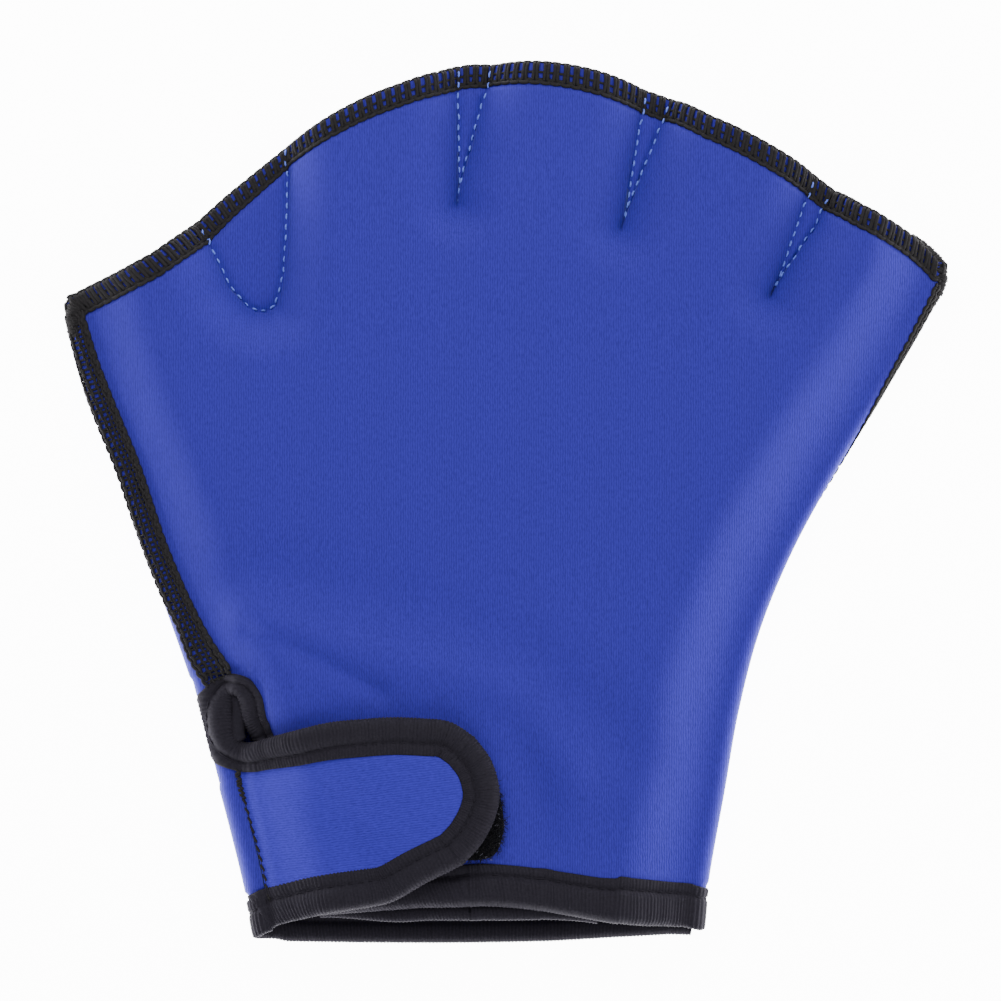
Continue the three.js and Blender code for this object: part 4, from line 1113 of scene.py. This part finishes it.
def strap_outline(start):
    """Places, ways in, widths and shares of the tape: from the slit's right edge round the strap."""
    p = np.concatenate([np.linspace(0.84, 1, 22), np.ones(58), np.linspace(1, 0, 90)])
    q = np.concatenate([np.ones(22), np.linspace(1, 0, 60)[1:-1], np.zeros(90)])
    edge = strap_place(p, q)
    turn, wide, over = loop_outline(start, edge[0])
    at = np.vstack([turn, edge])
    along = unit(np.gradient(at, axis=0))
    inward = np.stack([along[:, 1], -along[:, 0]], axis=1)
    low, root = (np.where(q == 0, smooth(share), 0.0) for share in ((1 - p) * 1.5, 1 - p / 0.2))
    wide = np.concatenate([wide, 1.15 + 0.1 * low])
    shift = np.concatenate([np.zeros(len(turn)), 0.6 * low + 1.2 * root])
    return at, inward, wide, shift, np.concatenate([over, np.ones(len(p))])


def within_fold(spot):
    """Keeps places on the upper half of the thumb side."""
    left, cos = side_at(-1, spot[:, 1])
    return np.maximum(spot[:, 0], left - 0.94 * fold_radius(-1, spot[:, 1]) / cos), spot[:, 1]


def tape_path():
    """One strip for the tape: up the slit's right edge, round its end, into the strap and round
    it, and over the thumb side into the back layer's wrist edge."""
    at, inward, wide, shift, over = strap_outline(slit_place(0)[0][-1, :2])
    kind, value = column_set(12, 8)
    widened = mix(wide[-1], 1.0, smooth(np.arange(len(kind)) / 30))
    over = over[:, None]

    def place(d):
        slit = slit_place(d)
        x, y = within_fold(at + inward * (d * wide + shift)[:, None])
        strap = [mix(a, b, over) for a, b in zip(height_point(front_height, x, y),
                                                 height_point(strap_height, x, y))]
        back = back_at(kind, value, wrist_v(kind, value, "back", d * widened))
        q = np.linspace(0, 1, 8)[1:-1, None]
        link = [mix(a[-1], b[0], q) for a, b in zip(strap, back)]
        return [np.vstack([a, b, c, e]) for a, b, c, e in zip(slit, strap, link, back)]

    strip = Strip(place, np.linspace(0, 9, 19))
    marks = [len(slit_place(0)[0]) + 120, len(slit_place(0)[0]) + len(at) + 3]
    return strip, [strip.s[m] for m in marks]


strap_cloth()
tape_strip, (slit_end, strap_end) = tape_path()


def flat_at_corner(s):
    """The tape lies flatter where it turns over the thumb side."""
    return 0.15 + 0.85 * smooth((np.abs(s - strap_end - 2) - 3) / 13)


binding("slit_tape", tape_strip, TAPE_REACH, ("slit_binding",), (0.0, slit_end))
binding("strap_tape", tape_strip, TAPE_REACH, ("strap_binding",), (slit_end, strap_end),
        rise_at=flat_at_corner)
binding("back_wrist_tape", tape_strip, TAPE_REACH, ("wrist_binding_back",),
        (strap_end, tape_strip.length), rise_at=flat_at_corner)


def slit_tape_and_shade():
    """The tape's hidden half rolled under the slit; it closes the slit from below with dark tape, which
    also stands as painted shade in the gap.
    """
    line = through([(-61.0, 56.6), (-60.5, 53.0), (-61.0, 49.5), (-61.0, 47.0), (-60.4, 45.4)], 28)
    x, y = line[:, 0], line[:, 1]
    path = np.column_stack([x, y, skin_top(x, y) + 0.1])[None]
    up = np.broadcast_to([0.0, 0.0, 1.0], path.shape)
    return new_object("slit_tape_and_shade", *tubes(path, up, 1.8, 1.0, sides=12), tape, "black_tape")


slit_tape_and_shade()


def corner_knot(name, outline, heights, thick, turns):
    """Gathered thread at an end of the finger edge: a lumpy core with loose turns round it."""
    line = through(outline, 60)
    far = np.linspace(0, 1, 60)
    at = np.linspace(0, 1, len(thick))
    thick = np.interp(far, at, thick) * (1 + 0.05 * np.sin(far * 60))
    path = np.column_stack([line, np.interp(far, [0, 1], heights)])[None]
    up = np.broadcast_to([0.0, 0.0, 1.0], path.shape)
    parts = [tubes(path, up, thick[None, :, None, None], thick[None, :, None, None], sides=14)]
    along = unit(np.gradient(path[0], axis=0))
    side = unit(np.cross(along, up[0]))
    k = np.linspace(3, 56, turns).astype(int)
    angle = np.linspace(-0.4, math.pi + 0.4, 11)[None, :, None]
    radius = (thick[k] + 0.03)[:, None, None]
    slant = rng.uniform(0.3, 1.3, turns)[:, None, None]
    wraps = (path[0][k][:, None] + side[k][:, None] * radius * np.cos(angle)
             + up[0][k][:, None] * radius * np.sin(angle)
             + along[k][:, None] * slant * (angle / math.pi - 0.5))
    normals = np.broadcast_to(along[k][:, None], wraps.shape)
    parts.append(tubes(wraps, normals, 0.2, 0.3))
    return new_object(name, *joined(parts), thread, "black_thread")


corner_knot("thumb_corner_knot",
            [(-97.4, 136.1), (-98.3, 140.6), (-97.9, 144.5), (-96.0, 146.8), (-93.5, 147.3),
             (-90.5, 149.3), (-87.3, 151.4), (-84.4, 153.0)],
            (4.0, 4.6), (1.0, 2.0, 2.35, 2.2, 1.6, 2.3, 1.9, 0.8), 46)
corner_knot("little_corner_knot",
            [(92.7, 161.4), (96.0, 158.2), (98.5, 155.4), (99.7, 152.4), (99.1, 149.2), (97.3, 145.8),
             (95.0, 141.8)],
            (4.4, 3.4), (0.7, 1.3, 1.6, 1.6, 1.4, 1.1, 0.6), 40)


def root_stitches():
    """The strap's thin joining seam: short uneven ticks, with a closer zigzag at its top."""
    y = np.linspace(ROOT_BOTTOM + 5, ROOT_TOP - 5, 200)[::-1]
    x = root_x(y) + mix(0.6, -0.5, smooth((y - 15) / 25))
    far = distances(np.column_stack([x, y]))
    zigzag = 6.5
    starts = np.concatenate([np.arange(0, zigzag, 0.55), np.arange(zigzag + 0.5, far[-1] - 1.6, 2.25)])
    close = (starts < zigzag)[:, None]
    q = np.linspace(0, 1, 6)[None]
    at = starts[:, None] + np.where(close, 1.0, 1.5) * q
    turn = np.where(close, rng.choice([-1, 1], len(starts))[:, None], 1)
    px = np.interp(at, far, x) + np.where(close, 1.7, 0.8) * (q - 0.5) * turn
    py = np.interp(at, far, y)
    point, normal = height_point(strap_height, px, py)
    parts = [tubes(point + normal * (HALF + 0.08), normal, 0.3, 0.24)]
    at = np.linspace(0, far[-1], 120)[None]
    px, py = np.interp(at, far, x), np.interp(at, far, y)
    point, normal = height_point(strap_height, px, py)
    parts.append(tubes(point + normal * (HALF - 0.06), normal, 0.12, 0.1))
    return new_object("strap_root_stitches", *joined(parts), thread, "black_thread")


root_stitches()


def patch_place(spot, h):
    """A place h above the middle of the front's cloth, and the way up there."""
    point, normal = height_point(front_height, spot[..., 0], spot[..., 1])
    return point + normal * h, normal


def closure_patch():
    edge = through_shares(PATCH, 121, closed=True)[:-1]
    middle = edge.mean(axis=0)
    shares = np.linspace(1, 0.02, 14)
    ring = middle[None, None] + (edge - middle)[None] * shares[:, None, None]
    top, _ = patch_place(ring, HALF + 1.1)
    bottom, _ = patch_place(edge[None], HALF + 0.1)
    skin = np.vstack([bottom, top])
    parts = [(skin.reshape(-1, 3), grid_faces(len(skin), skin.shape[1], closed=True))]
    count = 5200
    radius = 1 - 0.42 * rng.random(count) ** 1.5
    at = rng.integers(0, len(edge), count)
    root = middle + (edge[at] - middle) * radius[:, None] + rng.normal(0, 0.25, (count, 2))
    base, normal = patch_place(root, HALF + 0.9)
    turn = rng.random(count) * 2 * math.pi
    lean = np.stack([np.cos(turn), np.sin(turn), np.zeros(count)], axis=1)
    q = np.linspace(0, 1, 5)[None, :, None]
    rise = 0.35 + 0.45 * rng.random(count)[:, None, None]
    curl = 0.35 + 0.4 * rng.random(count)[:, None, None]
    paths = (base[:, None] + normal[:, None] * rise * np.sin(q * 2.6)
             + lean[:, None] * curl * (1 - np.cos(q * 2.4)))
    normals = np.broadcast_to(normal[:, None], paths.shape)
    hair = tubes(paths, normals, 0.075, 0.06, sides=3)
    # Every sixtieth hair gets a light grey tip: painted glints on the black pile.
    tips = tubes(paths[::60, 2:] + [0, 0, 0.06], normals[::60, 2:], 0.1, 0.08, sides=4)
    new_object("pile_tips_painted_glint", *tips, pile_glint, "black_pile")
    return new_object("pile_patch", *joined(parts + [hair]), pile, "black_pile", ("closure_patch",))


closure_patch()


# Floor, light and camera

floor_material, floor_shader = node_material("floor", (0.95, 0.95, 0.95), 0.9)
floor_shader.inputs["Emission Color"].default_value = (1, 1, 1, 1)
floor_shader.inputs["Emission Strength"].default_value = 12.0
bpy.ops.mesh.primitive_plane_add(size=4, location=(0, 0, -0.0002))
floor = bpy.context.object
floor.name = "floor"
floor.data.materials.append(floor_material)

world = bpy.data.worlds.new("studio")
bpy.context.scene.world = world
world.use_nodes = True
background = world.node_tree.nodes["Background"]
background.inputs["Color"].default_value = (1, 1, 1, 1)
background.inputs["Strength"].default_value = 0.5


def area_light(name, place, size, power):
    light = bpy.data.lights.new(name, "AREA")
    light.shape = "DISK"
    light.size = size
    light.energy = power
    lamp = bpy.data.objects.new(name, light)
    lamp.location = place
    lamp.rotation_mode = "QUATERNION"
    lamp.rotation_quaternion = (-Vector(place)).to_track_quat("-Z", "Y")
    bpy.context.scene.collection.objects.link(lamp)


area_light("key", (-0.15, 0.42, 0.42), 0.45, 3.7)
area_light("right", (1.1, 0.1, 0.5), 0.9, 10)
area_light("left", (-1.1, 0.2, 0.6), 0.9, 1.2)
area_light("near", (0.2, -1.0, 0.8), 0.9, 9)

SENSOR = 36
VIEW_WIDTH = 0.2282
VIEW_CENTRE = (-0.00095, 0.00135)
MID_HEIGHT = 0.010
CAMERA_HEIGHT = 1.3
camera_data = bpy.data.cameras.new("camera")
camera_data.sensor_width = SENSOR
camera_data.lens = SENSOR * (CAMERA_HEIGHT - MID_HEIGHT) / VIEW_WIDTH
camera = bpy.data.objects.new("camera", camera_data)
camera.location = (*VIEW_CENTRE, CAMERA_HEIGHT)
camera.rotation_euler = (0, 0, 0)
bpy.context.scene.collection.objects.link(camera)
bpy.context.scene.camera = camera
